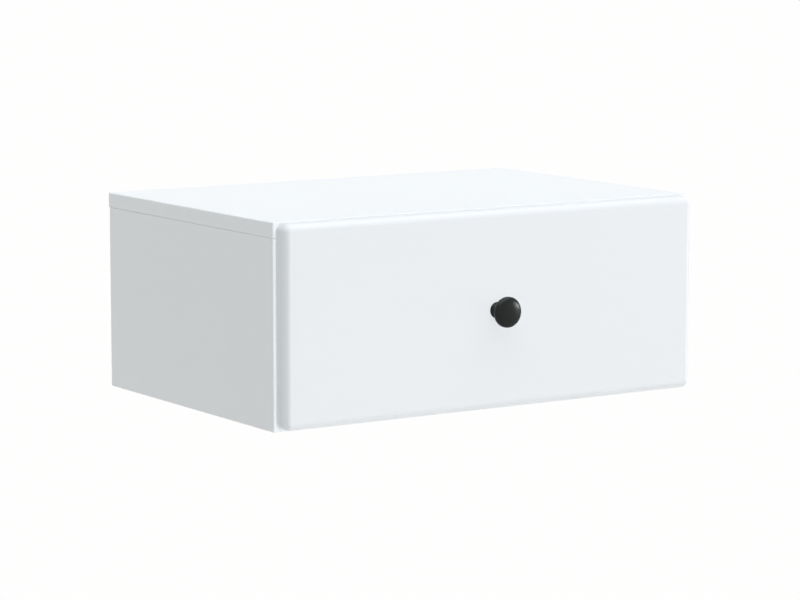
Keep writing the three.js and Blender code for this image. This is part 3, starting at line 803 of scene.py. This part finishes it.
def make_knob():
    """The mushroom knob: a foot, a drawn-in neck and a low domed head."""
    soft = KNOB_SOFT_EDGE
    foot_radius, foot_height = KNOB_FOOT
    head = KNOB_HEAD_RADIUS
    foot = [(foot_radius - soft, 0), (foot_radius, soft), (foot_radius, foot_height - soft)]
    foot_top = (foot_radius - soft, foot_height)
    neck_in = ease(foot_top, (KNOB_NECK[0], foot_height + soft),
                   (KNOB_NECK[0], KNOB_NECK[1] * 0.7), KNOB_NECK)
    pull = (KNOB_NECK[0], (KNOB_NECK[1] + KNOB_FLARE[1]) / 2)
    neck_out = ease(KNOB_NECK, pull, (KNOB_FLARE[0] - soft * 2, KNOB_FLARE[1] - soft * 3), KNOB_FLARE)
    under_rim = (head - soft * 1.5, KNOB_UNDER_REACH)
    under = ease(KNOB_FLARE, (KNOB_FLARE[0] + soft * 4, KNOB_FLARE[1] + soft * 4),
                 (head - soft * 8, KNOB_UNDER_REACH), under_rim)
    rim = ease(under_rim, (head, KNOB_UNDER_REACH), (head, KNOB_UNDER_REACH + soft),
               (head, KNOB_UNDER_REACH + soft * 3), 6)
    flatness = 2 / KNOB_CROWN_POWER
    rise = KNOB_HEIGHT - KNOB_RIM_REACH
    crown = [
        (head * math.cos(a) ** flatness, KNOB_RIM_REACH + rise * math.sin(a) ** flatness)
        for a in (math.radians(step) for step in range(0, 90, 4))
    ]
    seat = (0, FRONT_LOW.y, FRONT_MID_Z)
    profile = foot + neck_in + neck_out[1:] + under[1:] + rim[1:] + crown
    knob = turned("knob", profile, seat, (0, -1, 0), KNOB_SIDES)
    combine(knob, [bore(KNOB_BORE, -OVERRUN, KNOB_BORE_DEPTH, seat, (0, -1, 0))])
    stand_for(knob, "drawer_knob", angle=KNOB_SHARP)
    # The photograph has hardly any shade round the knob, so bounced light ignores it
    knob.visible_diffuse = False


def box_wall(name, node, axis):
    """One wall of the drawer box: a board with its upper edges rounded."""
    low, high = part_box(node)
    wall = cube(name, low, high)
    bevel(wall, lambda edge: runs_along(edge, axis) and lies_at(edge, Z, high.z), BOX_EDGE_RADIUS, 8)
    return wall


def make_box():
    """The drawer box's four walls, with the bottom's groove and the screws' holes."""
    bottom_low, bottom_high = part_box("drawer_box_bottom")
    front_low, front_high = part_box("drawer_box_front")
    inner_x = front_high.x
    groove_low = (-inner_x - BOX_GROOVE_DEPTH, front_high.y - BOX_GROOVE_DEPTH, bottom_low.z - GROOVE_PLAY)
    groove_high = (inner_x + BOX_GROOVE_DEPTH, bottom_high.y + OVERRUN, bottom_high.z + GROOVE_PLAY)
    for side, sign in SIDES.items():
        node = f"drawer_box_{side}"
        wall = box_wall(f"box_wall_{side}", node, Y)
        groove = cube("groove", (groove_low[0], front_low.y - OVERRUN, groove_low[2]), groove_high)
        screws = [f"drawer_member_screw_{side}_{row}" for row in ROWS]
        stand_for(combine(wall, [groove, *screw_holes(screws, X, -sign)]), node)
    front = box_wall("box_wall_front", "drawer_box_front", X)
    groove = cube("groove", groove_low, groove_high)
    combine(front, [groove, knob_hole(front_low, front_high), *screw_holes(FRONT_SCREWS, Y, -1)])
    stand_for(front, "drawer_box_front")
    rear = box_wall("box_wall_rear", "drawer_box_rear", X)
    stand_for(rear, "drawer_box_rear")


def make_screws():
    """Every screw, with a cross recess in its head."""
    rows = [(node, Y, -1) for node in RAIL_SCREWS + FRONT_SCREWS]
    for side, sign in SIDES.items():
        rows += [(f"cabinet_member_screw_{side}_{row}", X, sign) for row in ROWS]
        rows += [(f"drawer_member_screw_{side}_{row}", X, -sign) for row in ROWS]
    masters = {}
    for node, axis, sign in rows:
        start, direction, length = screw_place(node, axis, sign)
        key = round(length / MERGE)
        if key not in masters:
            masters[key] = wood_screw(length)
        screw = placed_copy(masters[key], f"{node}_crossed", start, direction)
        stand_for(screw, node)
    start, direction, length = screw_place("knob_screw", Y, -1)
    seat = start + direction * KNOB_SCREW_HEAD_HEIGHT
    masters["knob"] = knob_screw(length - KNOB_SCREW_HEAD_HEIGHT)
    stand_for(placed_copy(masters["knob"], "knob_screw_crossed", seat, direction), "knob_screw")
    for master in masters.values():
        bpy.data.objects.remove(master, do_unlink=True)


def make_rails():
    """The wall rail and the cabinet rail that hooks over it, bent from sheet."""
    half = RAIL_SHEET / 2
    low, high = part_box("wall_rail")
    lip_foot = high.z - RAIL_LIP
    line = rounded_line([
        (-half, low.z),
        (-half, lip_foot - RAIL_OFFSET),
        (-RAIL_OFFSET - half, lip_foot),
        (-RAIL_OFFSET - half, high.z),
    ], RAIL_BEND)
    reach = (high.x - low.x, 0, 0)
    wall_rail = sheet_strip("wall_rail_bent", [(low.x, y, z) for y, z in line], reach, RAIL_SHEET)
    slots = []
    for sign in SIDES.values():
        x, z = sign * (high.x - RAIL_HOLE_INSET), low.z + WALL_SLOT_RISE
        corner = Vector((WALL_SLOT_LENGTH / 2, 0, WALL_SLOT_WIDTH / 2))
        start, end = Vector((x, -RAIL_SHEET - OVERRUN, z)), Vector((x, OVERRUN, z))
        slots.append(slot_tool(start - corner, end + corner, Y))
    stand_for(combine(wall_rail, slots), "wall_rail", angle=RAIL_SHARP)
    low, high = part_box("cabinet_rail")
    line = rounded_line([
        (low.y + half, low.z),
        (low.y + half, high.z - half),
        (high.y - half, high.z - half),
        (high.y - half, high.z - half - HOOK_HEIGHT),
    ], RAIL_BEND)
    cabinet_rail = sheet_strip("cabinet_rail_bent", [(low.x, y, z) for y, z in line], reach, RAIL_SHEET)
    combine(cabinet_rail, screw_holes(RAIL_SCREWS, Y, -1))
    stand_for(cabinet_rail, "cabinet_rail", angle=RAIL_SHARP)


# Runner sections, the upper half of each; the lower half mirrors it
RACE_RADIUS = BALL_RADIUS + RACE_PLAY + RUNNER_SHEET / 2
INNER_BALL = (
    OUTER_BALL[0] + 2 * RACE_RADIUS * math.cos(math.radians(RACE_TURN)),
    OUTER_BALL[1] + 2 * RACE_RADIUS * math.sin(math.radians(RACE_TURN)),
)
CABINET_WEB = RUNNER_SHEET / 2
INTERMEDIATE_WEB = RUNNER_SHEET + WEB_GAP + RUNNER_SHEET / 2
DRAWER_WEB = RUNNER_WIDTH - RUNNER_SHEET / 2
OUTER_CAGE_WEB = RUNNER_SHEET + WEB_GAP / 2
INNER_CAGE_WEB = INTERMEDIATE_WEB + RUNNER_SHEET / 2 + WEB_GAP / 2
WEB_MEETS_RACE = 180 + math.degrees(math.acos((OUTER_BALL[0] - INTERMEDIATE_WEB) / RACE_RADIUS))

CABINET_HALF = [
    (CABINET_WEB, OUTER_BALL[1]),
    *arc(OUTER_BALL, RACE_RADIUS, SHOULDER_DEGREES, LIP_DEGREES, 14),
]
INTERMEDIATE_HALF = [
    *arc(OUTER_BALL, RACE_RADIUS, WEB_MEETS_RACE, 360 + RACE_TURN, 10),
    *arc(INNER_BALL, RACE_RADIUS, 180 + RACE_TURN, LIP_DEGREES / 2, 14)[1:],
]
DRAWER_HALF = [
    (DRAWER_WEB, INNER_BALL[1] - RACE_RADIUS),
    *arc(INNER_BALL, RACE_RADIUS, DRAWER_SHOULDER_DEGREES, DRAWER_LIP_DEGREES, 12),
]
MEMBER_HALVES = {"cabinet": CABINET_HALF, "intermediate": INTERMEDIATE_HALF, "drawer": DRAWER_HALF}


def cage_half(web, ball):
    """The cage's strip: up its web, over a bend and out between the balls."""
    return [
        (web, ball[1] - BALL_RADIUS / 2),
        (web + BALL_RADIUS / 2, ball[1]),
        (ball[0] + BALL_RADIUS * CAGE_GRIP, ball[1]),
    ]


def runner_point(u, v, sign, y):
    return (sign * (SIDE_INNER_X - u), y, RUNNER_Z + v)


def rolled_member(name, node, half, sheet, sign):
    """One rolled member or cage strip of a runner, as long as its node."""
    low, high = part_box(node)
    whole = [(u, -v) for u, v in reversed(half)] + half
    points = [runner_point(u, v, sign, low.y) for u, v in whole]
    return sheet_strip(name, points, (0, high.y - low.y, 0), sheet)


def slot_middles(low, high):
    """Where the access slots go: as many as their pitch allows between two places."""
    gaps = math.floor((high - low - 2 * SLOT_MARGIN - SLOT_LENGTH) / SLOT_PITCH + MERGE)
    first = (low + high - gaps * SLOT_PITCH) / 2
    return [first + i * SLOT_PITCH for i in range(gaps + 1)]


def member_tools(side, sign, prefix, direction_sign, web, first_y):
    """The cutters for a member's screw holes and access slots."""
    screws = [f"{prefix}_screw_{side}_{row}" for row in ROWS]
    tools = screw_holes(screws, X, direction_sign)
    front_y, rear_y = (screw_place(screw, X, direction_sign)[0].y for screw in screws)
    for y in slot_middles(front_y if first_y is None else first_y, rear_y):
        middle = Vector(runner_point(web, 0, sign, y))
        corner = Vector((RUNNER_SHEET, SLOT_LENGTH / 2, SLOT_WIDTH / 2))
        tools.append(slot_tool(middle - corner, middle + corner, X))
    return tools


def lever_pivot(side):
    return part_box(f"runner_release_lever_{side}")[1].y - LEVER_HUB_RADIUS


def make_members():
    """The three rolled members of each runner, with slots, holes, lever pins and end buffers."""
    for side, sign in SIDES.items():
        pivot = lever_pivot(side)
        for kind, half in MEMBER_HALVES.items():
            name = f"{kind}_member_{side}"
            member = rolled_member(name, f"runner_{name}", half, RUNNER_SHEET, sign)
            if kind == "cabinet":
                combine(member, member_tools(side, sign, "cabinet_member", sign, CABINET_WEB, None))
            if kind == "drawer":
                combine(member, member_tools(side, sign, "drawer_member", -sign, DRAWER_WEB, pivot))
                combine(member, [lever_pin(sign, pivot)], "UNION")
            stand_for(member, f"runner_{name}")
        make_buffer(side, sign)


def lever_pin(sign, pivot):
    """The riveted pin that carries a release lever."""
    head_radius, head_height = LEVER_PIN_HEAD
    reach = RUNNER_SHEET / 2 + RACE_PLAY + LEVER_THICKNESS + RACE_PLAY
    return turned("pin", [
        (LEVER_PIN_RADIUS, 0),
        (LEVER_PIN_RADIUS, reach),
        (head_radius, reach),
        (head_radius, reach + head_height * 0.6),
        (head_radius * 0.8, reach + head_height * 0.95),
        (head_radius * 0.3, reach + head_height),
    ], runner_point(DRAWER_WEB, 0, sign, pivot), (sign, 0, 0), SMALL_SIDES)


def make_buffer(side, sign):
    """The moulded end buffer at the rear of a cabinet member."""
    rear = RUNNER_HIGH.y - HOLE_PLAY
    inner = runner_point(RUNNER_SHEET + HOLE_PLAY / 3, BUFFER_HEIGHT / 2, sign, rear)
    outer = runner_point(RUNNER_SHEET + BUFFER_WIDTH, -BUFFER_HEIGHT / 2, sign, rear - BUFFER_LENGTH)
    low = [min(a, b) for a, b in zip(inner, outer)]
    high = [max(a, b) for a, b in zip(inner, outer)]
    buffer = cube(f"end_buffer_{side}", low, high)
    bevel(buffer, lambda edge: True, BUFFER_EDGE, 3)
    dress(buffer, "black_plastic", "carcase")


def make_cages():
    """The ball cages: a bent strip with open windows, and a ball in each window."""
    per_row = bpy.context.scene.nightstand_sizes.balls_per_row
    kinds = {"outer": (OUTER_CAGE_WEB, OUTER_BALL), "inner": (INNER_CAGE_WEB, INNER_BALL)}
    for side, sign in SIDES.items():
        for kind, (web, ball) in kinds.items():
            node = f"runner_{kind}_cage_{side}"
            low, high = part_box(node)
            strip = rolled_member(f"{kind}_ball_cage_{side}", node, cage_half(web, ball), CAGE_SHEET, sign)
            pitch = (high.y - low.y - 2 * CAGE_END) / (per_row - 1)
            middles = [low.y + CAGE_END + i * pitch for i in range(per_row)]
            window = BALL_RADIUS + WINDOW_PLAY
            span = ball[1] + BALL_RADIUS
            combine(strip, [
                bore(window, -span, span, runner_point(ball[0], 0, sign, y), (0, 0, 1)) for y in middles
            ])
            balls = []
            for y in middles:
                for rise in (ball[1], -ball[1]):
                    deselect()
                    place = runner_point(ball[0], rise, sign, y)
                    bpy.ops.mesh.primitive_uv_sphere_add(
                        segments=20, ring_count=12, radius=BALL_RADIUS, location=place)
                    balls.append(settle(bpy.context.object, "ball"))
            stand_for(joined([strip, *balls]), node)


def make_levers():
    """The release levers: a flat arm round the pin, with a ribbed finger pad at its tip."""
    for side, sign in SIDES.items():
        node = f"runner_release_lever_{side}"
        low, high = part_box(node)
        pivot = lever_pivot(side)
        tip = low.y + LEVER_TIP_RADIUS
        arm_x = low.x if sign > 0 else high.x
        outline = arc((pivot, RUNNER_Z), LEVER_HUB_RADIUS, -90, 90, 20)
        outline += arc((tip, RUNNER_Z), LEVER_TIP_RADIUS, 90, 270, 16)
        points = [(arm_x, y, z) for y, z in outline]
        arm = plate(f"release_lever_{side}", points, (sign * LEVER_THICKNESS, 0, 0))
        pad_xs = sorted((arm_x + sign * LEVER_THICKNESS / 2, high.x if sign > 0 else low.x))
        pad_y = tip - LEVER_TIP_RADIUS / 2
        pad_half = LEVER_TIP_RADIUS / 2
        pad_low = (pad_xs[0], pad_y, RUNNER_Z - pad_half)
        pad = cube("pad", pad_low, (pad_xs[1], pad_y + LEVER_PAD_LENGTH, RUNNER_Z + pad_half))
        bevel(pad, lambda edge: not runs_along(edge, X), LEVER_PAD_EDGE, 3)
        outer = pad_xs[1] if sign > 0 else pad_xs[0]
        ribs = []
        for i in range(1, 4):
            middle = pad_y + i * LEVER_PAD_LENGTH / 4
            xs = sorted((outer - sign * LEVER_RIB_DEPTH, outer + sign * OVERRUN))
            half = Vector((0, LEVER_RIB_WIDTH / 2, pad_half + OVERRUN))
            ribs.append(cube("rib_gap", Vector((xs[0], middle, RUNNER_Z)) - half,
                             Vector((xs[1], middle, RUNNER_Z)) + half))
        combine(pad, ribs)
        combine(arm, [pad], "UNION")
        seat = (arm_x, pivot, RUNNER_Z)
        combine(arm, [bore(LEVER_BORE, -OVERRUN, LEVER_THICKNESS + OVERRUN, seat, (sign, 0, 0))])
        stand_for(arm, node)


def make_bumpers():
    """Small soft bumpers on the side panels' front edges, behind the drawer front."""
    for side, sign in SIDES.items():
        x = sign * (SIDE_INNER_X + SIDE_OUTER_X) / 2
        for place, rise in zip(("upper", "lower"), BUMPER_RISES):
            bumper = turned(f"bumper_{side}_{place}", [
                (BUMPER_RADIUS, 0),
                (BUMPER_RADIUS, BUMPER_HEIGHT * 0.4),
                (BUMPER_RADIUS * 0.95, BUMPER_HEIGHT * 0.75),
                (BUMPER_RADIUS * 0.8, BUMPER_HEIGHT * 0.95),
                (BUMPER_RADIUS * 0.4, BUMPER_HEIGHT),
            ], (x, CARCASE_FRONT_Y, rise), (0, -1, 0), SMALL_SIDES)
            dress(bumper, "white_fibreboard", "carcase")


# Stage

def sees_white(shader):
    """One on the rays that see a white background: the camera's, off gloss and through glass."""
    rays = [shader.node("ShaderNodeLightPath", output=kind)
            for kind in ("Is Camera Ray", "Is Glossy Ray", "Is Transmission Ray")]
    return shader.sum("MAXIMUM", shader.sum("MAXIMUM", rays[0], rays[1]), rays[2])


def make_world(studio):
    """Even light from all round, and plain white behind the object and in its reflections."""
    world = bpy.data.worlds.new("Studio")
    bpy.context.scene.world = world
    world.use_nodes = True
    shader = Shader(world.node_tree)
    strength = sees_white(shader) * (1 - studio.ambient) + studio.ambient
    light = shader.node("ShaderNodeBackground", sockets={"Color": WHITE, "Strength": strength})
    shader.node("ShaderNodeOutputWorld", sockets={"Surface": light})


def make_floor(studio):
    """A wide pale floor that keeps the object's soft shadow."""
    level = CAD_BOX[0].z - studio.floor_drop
    deselect()
    bpy.ops.mesh.primitive_plane_add(size=studio.floor_size, location=(0, 0, level))
    floor = settle(bpy.context.object, "floor")
    material = bpy.data.materials.new("studio_floor")
    material.use_nodes = True
    shader = Shader(material.node_tree)
    matt = shader.node("ShaderNodeBsdfDiffuse", sockets={"Color": tone(studio.floor_colour)})
    glow = shader.node("ShaderNodeEmission", sockets={"Color": WHITE, "Strength": 1.0})
    share = sees_white(shader) * studio.floor_lift
    mixed = shader.node("ShaderNodeMixShader", sockets={0: share, 1: matt, 2: glow})
    shader.node("ShaderNodeOutputMaterial", sockets={"Surface": mixed})
    floor.data.materials.append(material)


LAMP_PARTS = ("azimuth", "elevation", "strength", "angle")


def make_lamp(name, azimuth, elevation, strength, angle):
    """One soft light, placed by its azimuth from the front and its elevation."""
    level = math.cos(elevation)
    direction = Vector((math.sin(azimuth) * level, -math.cos(azimuth) * level, math.sin(elevation)))
    deselect()
    bpy.ops.object.light_add(type="SUN", location=direction * LAMP_DISTANCE)
    lamp = bpy.context.object
    lamp.name = name
    lamp.rotation_mode = "QUATERNION"
    lamp.rotation_quaternion = direction.to_track_quat("Z", "Y")
    lamp.data.energy = strength
    lamp.data.angle = angle
    return lamp


def make_camera(studio):
    """The camera at the photograph's viewpoint."""
    deselect()
    bpy.ops.object.camera_add(location=studio.camera_place)
    camera = bpy.context.object
    camera.name = "camera"
    across = math.cos(studio.camera_pitch)
    forward = Vector((
        math.sin(studio.camera_yaw) * across,
        math.cos(studio.camera_yaw) * across,
        -math.sin(studio.camera_pitch),
    ))
    camera.rotation_mode = "QUATERNION"
    camera.rotation_quaternion = forward.to_track_quat("-Z", "Y")
    camera.data.lens = studio.camera_lens
    camera.data.sensor_width = SENSOR_WIDTH
    camera.data.clip_end = VIEW_END
    bpy.context.scene.camera = camera


# Properties that a user would change

def length_setting(name, description, default):
    return bpy.props.FloatProperty(name=name, description=description, default=default, unit="LENGTH")


def colour_setting(name, description, default):
    return bpy.props.FloatVectorProperty(
        name=name, description=description, default=default, subtype="COLOR", min=0, max=1)


def angle_setting(name, description, degrees):
    return bpy.props.FloatProperty(
        name=name, description=description, default=math.radians(degrees), subtype="ANGLE")


def share_setting(name, description, default):
    return bpy.props.FloatProperty(
        name=name, description=description, default=default, subtype="FACTOR", min=0, max=1)


class NightstandSizes(bpy.types.PropertyGroup):
    """Sizes of the fine forms."""

    board_edge: length_setting("Board edge", "Rounding of the boards' edges", 0.0006)
    top_edge: length_setting("Top edge", "Rounding of the top panel's edges", 0.0011)
    front_edge: length_setting("Front edge", "Radius of the drawer front's rolled edges", 0.008)
    front_corner: length_setting("Front corner", "Radius of the drawer front's corners", 0.0085)
    balls_per_row: bpy.props.IntProperty(
        name="Balls per row", description="Balls in each row of a ball cage", default=8, min=2)


class NightstandLooks(bpy.types.PropertyGroup):
    """Colours and finishes."""

    foil: colour_setting("Foil", "Colour of the carcase boards", (0.882, 0.92, 0.95))
    # Painted shade: set darker than the foil, so that the drawer front reads darker than the top
    lacquer: colour_setting("Drawer front", "Colour of the drawer front", (0.799, 0.832, 0.871))
    drawer_board: colour_setting("Drawer box", "Colour of the drawer box", (0.82, 0.83, 0.83))
    fibreboard: colour_setting("Fibreboard", "Colour of the back and the drawer bottom", (0.79, 0.8, 0.79))
    black: colour_setting("Knob", "Colour of the knob", (0.0085, 0.0108, 0.0103))
    black_roughness: share_setting("Knob roughness", "Roughness of the knob's coating", 0.17)
    zinc: colour_setting("Zinc plating", "Colour of the runners and rails", (0.62, 0.64, 0.66))
    steel: colour_setting("Bright steel", "Colour of screws, dowels and balls", (0.68, 0.69, 0.7))
    casting: colour_setting("Casting", "Colour of the cam locks", (0.42, 0.43, 0.44))
    plastic: colour_setting("Black plastic", "Colour of the levers and buffers", (0.012, 0.012, 0.013))
    edge_band: length_setting("Edge band", "Thickness of the glued edge bands", 0.001)
    edge_band_line: length_setting("Edge band line", "Width of the glue line beside a band", 0.00012)


class NightstandStudio(bpy.types.PropertyGroup):
    """Floor, light and camera."""

    ambient: share_setting("Ambient", "Even light from all round, where 1 is white", 0.03)
    floor_drop: length_setting("Floor drop", "Height of the nightstand above the floor", 0.5)
    floor_size: length_setting("Floor size", "Width of the floor", 60.0)
    floor_lift: share_setting("Floor lift", "How far the camera sees the floor lifted to white", 0.9)
    floor_colour: colour_setting("Floor", "Colour of the floor", (0.95, 0.945, 0.91))
    top_azimuth: angle_setting("Top azimuth", "Turn of the top light to the right", -8)
    top_elevation: angle_setting("Top elevation", "Height of the top light", 75)
    top_strength: bpy.props.FloatProperty(
        name="Top strength", description="Strength of the top light", default=2.97)
    top_angle: angle_setting("Top angle", "How broad the top light is", 80)
    side_azimuth: angle_setting("Side azimuth", "Turn of the side light to the right", 58)
    side_elevation: angle_setting("Side elevation", "Height of the side light", 2)
    side_strength: bpy.props.FloatProperty(
        name="Side strength", description="Strength of the side light", default=1.45)
    side_angle: angle_setting("Side angle", "How broad the side light is", 20)
    camera_place: bpy.props.FloatVectorProperty(
        name="Camera place", description="Where the camera stands", default=(-1.84143, -3.01639, 0.41977),
        subtype="TRANSLATION", unit="LENGTH")
    camera_yaw: angle_setting("Camera yaw", "Turn of the view to the right", 32.9875)
    camera_pitch: angle_setting("Camera pitch", "Tilt of the view down", 7.8451)
    camera_lens: bpy.props.FloatProperty(
        name="Camera lens", description="Focal length on a 36 mm wide sensor",
        default=142.775, unit="CAMERA")


# Operators

class NIGHTSTAND_OT_stage(bpy.types.Operator):
    """Set up the pale floor, the soft light and the camera."""

    bl_idname = "nightstand.stage"
    bl_label = "Stage"

    def execute(self, context):
        studio = context.scene.nightstand_studio
        context.scene.view_settings.view_transform = "Standard"
        make_camera(studio)
        make_world(studio)
        make_floor(studio)
        for name in ("top", "side"):
            lamp = make_lamp(f"{name}_light", *(getattr(studio, f"{name}_{part}") for part in LAMP_PARTS))
            # The photograph shows no shadow from the side
            lamp.data.use_shadow = name == "top"
        return {"FINISHED"}


class NIGHTSTAND_OT_boards(bpy.types.Operator):
    """Finish the carcase boards and give every carried-over node its material."""

    bl_idname = "nightstand.boards"
    bl_label = "Boards"

    def execute(self, context):
        make_boards(context.scene.nightstand_sizes)
        return {"FINISHED"}


class NIGHTSTAND_OT_front(bpy.types.Operator):
    """Model the drawer front with its rolled edges."""

    bl_idname = "nightstand.front"
    bl_label = "Drawer front"

    def execute(self, context):
        make_front(context.scene.nightstand_sizes)
        return {"FINISHED"}


class NIGHTSTAND_OT_knob(bpy.types.Operator):
    """Model the knob."""

    bl_idname = "nightstand.knob"
    bl_label = "Knob"

    def execute(self, context):
        make_knob()
        return {"FINISHED"}


class NIGHTSTAND_OT_box(bpy.types.Operator):
    """Model the walls of the drawer box."""

    bl_idname = "nightstand.box"
    bl_label = "Drawer box"

    def execute(self, context):
        make_box()
        return {"FINISHED"}


class NIGHTSTAND_OT_screws(bpy.types.Operator):
    """Model the screws."""

    bl_idname = "nightstand.screws"
    bl_label = "Screws"

    def execute(self, context):
        make_screws()
        return {"FINISHED"}


class NIGHTSTAND_OT_rails(bpy.types.Operator):
    """Model the wall rail and the cabinet rail."""

    bl_idname = "nightstand.rails"
    bl_label = "Hanging rails"

    def execute(self, context):
        make_rails()
        return {"FINISHED"}


class NIGHTSTAND_OT_members(bpy.types.Operator):
    """Model the runners' rolled members."""

    bl_idname = "nightstand.members"
    bl_label = "Runner members"

    def execute(self, context):
        make_members()
        return {"FINISHED"}


class NIGHTSTAND_OT_cages(bpy.types.Operator):
    """Model the runners' ball cages."""

    bl_idname = "nightstand.cages"
    bl_label = "Ball cages"

    def execute(self, context):
        make_cages()
        return {"FINISHED"}


class NIGHTSTAND_OT_levers(bpy.types.Operator):
    """Model the runners' release levers."""

    bl_idname = "nightstand.levers"
    bl_label = "Release levers"

    def execute(self, context):
        make_levers()
        return {"FINISHED"}


class NIGHTSTAND_OT_bumpers(bpy.types.Operator):
    """Model the bumpers behind the drawer front."""

    bl_idname = "nightstand.bumpers"
    bl_label = "Bumpers"

    def execute(self, context):
        make_bumpers()
        return {"FINISHED"}


STEPS = (
    NIGHTSTAND_OT_stage,
    NIGHTSTAND_OT_boards,
    NIGHTSTAND_OT_front,
    NIGHTSTAND_OT_knob,
    NIGHTSTAND_OT_box,
    NIGHTSTAND_OT_screws,
    NIGHTSTAND_OT_rails,
    NIGHTSTAND_OT_members,
    NIGHTSTAND_OT_cages,
    NIGHTSTAND_OT_levers,
    NIGHTSTAND_OT_bumpers,
)


class NIGHTSTAND_PT_sidebar(bpy.types.Panel):
    """Lists the nightstand's steps and settings."""

    bl_idname = "NIGHTSTAND_PT_sidebar"
    bl_label = "Floating nightstand"
    bl_space_type = "VIEW_3D"
    bl_region_type = "UI"
    bl_category = "Nightstand"

    def draw(self, context):
        for step in STEPS:
            self.layout.operator(step.bl_idname)
        for name in ("nightstand_sizes", "nightstand_looks", "nightstand_studio"):
            group = getattr(context.scene, name)
            box = self.layout.box()
            for setting in group.bl_rna.properties.keys()[2:]:
                box.prop(group, setting)


GROUPS = {
    "nightstand_sizes": NightstandSizes,
    "nightstand_looks": NightstandLooks,
    "nightstand_studio": NightstandStudio,
}


def register():
    for name, group in GROUPS.items():
        bpy.utils.register_class(group)
        setattr(bpy.types.Scene, name, bpy.props.PointerProperty(type=group))
    for shown in (*STEPS, NIGHTSTAND_PT_sidebar):
        bpy.utils.register_class(shown)


def unregister():
    for shown in (NIGHTSTAND_PT_sidebar, *reversed(STEPS)):
        bpy.utils.unregister_class(shown)
    for name, group in GROUPS.items():
        delattr(bpy.types.Scene, name)
        bpy.utils.unregister_class(group)


def main():
    """Runs every step in order."""
    register()
    for step in STEPS:
        getattr(bpy.ops.nightstand, step.bl_idname.split(".")[1])()


if __name__ == "__main__":
    main()
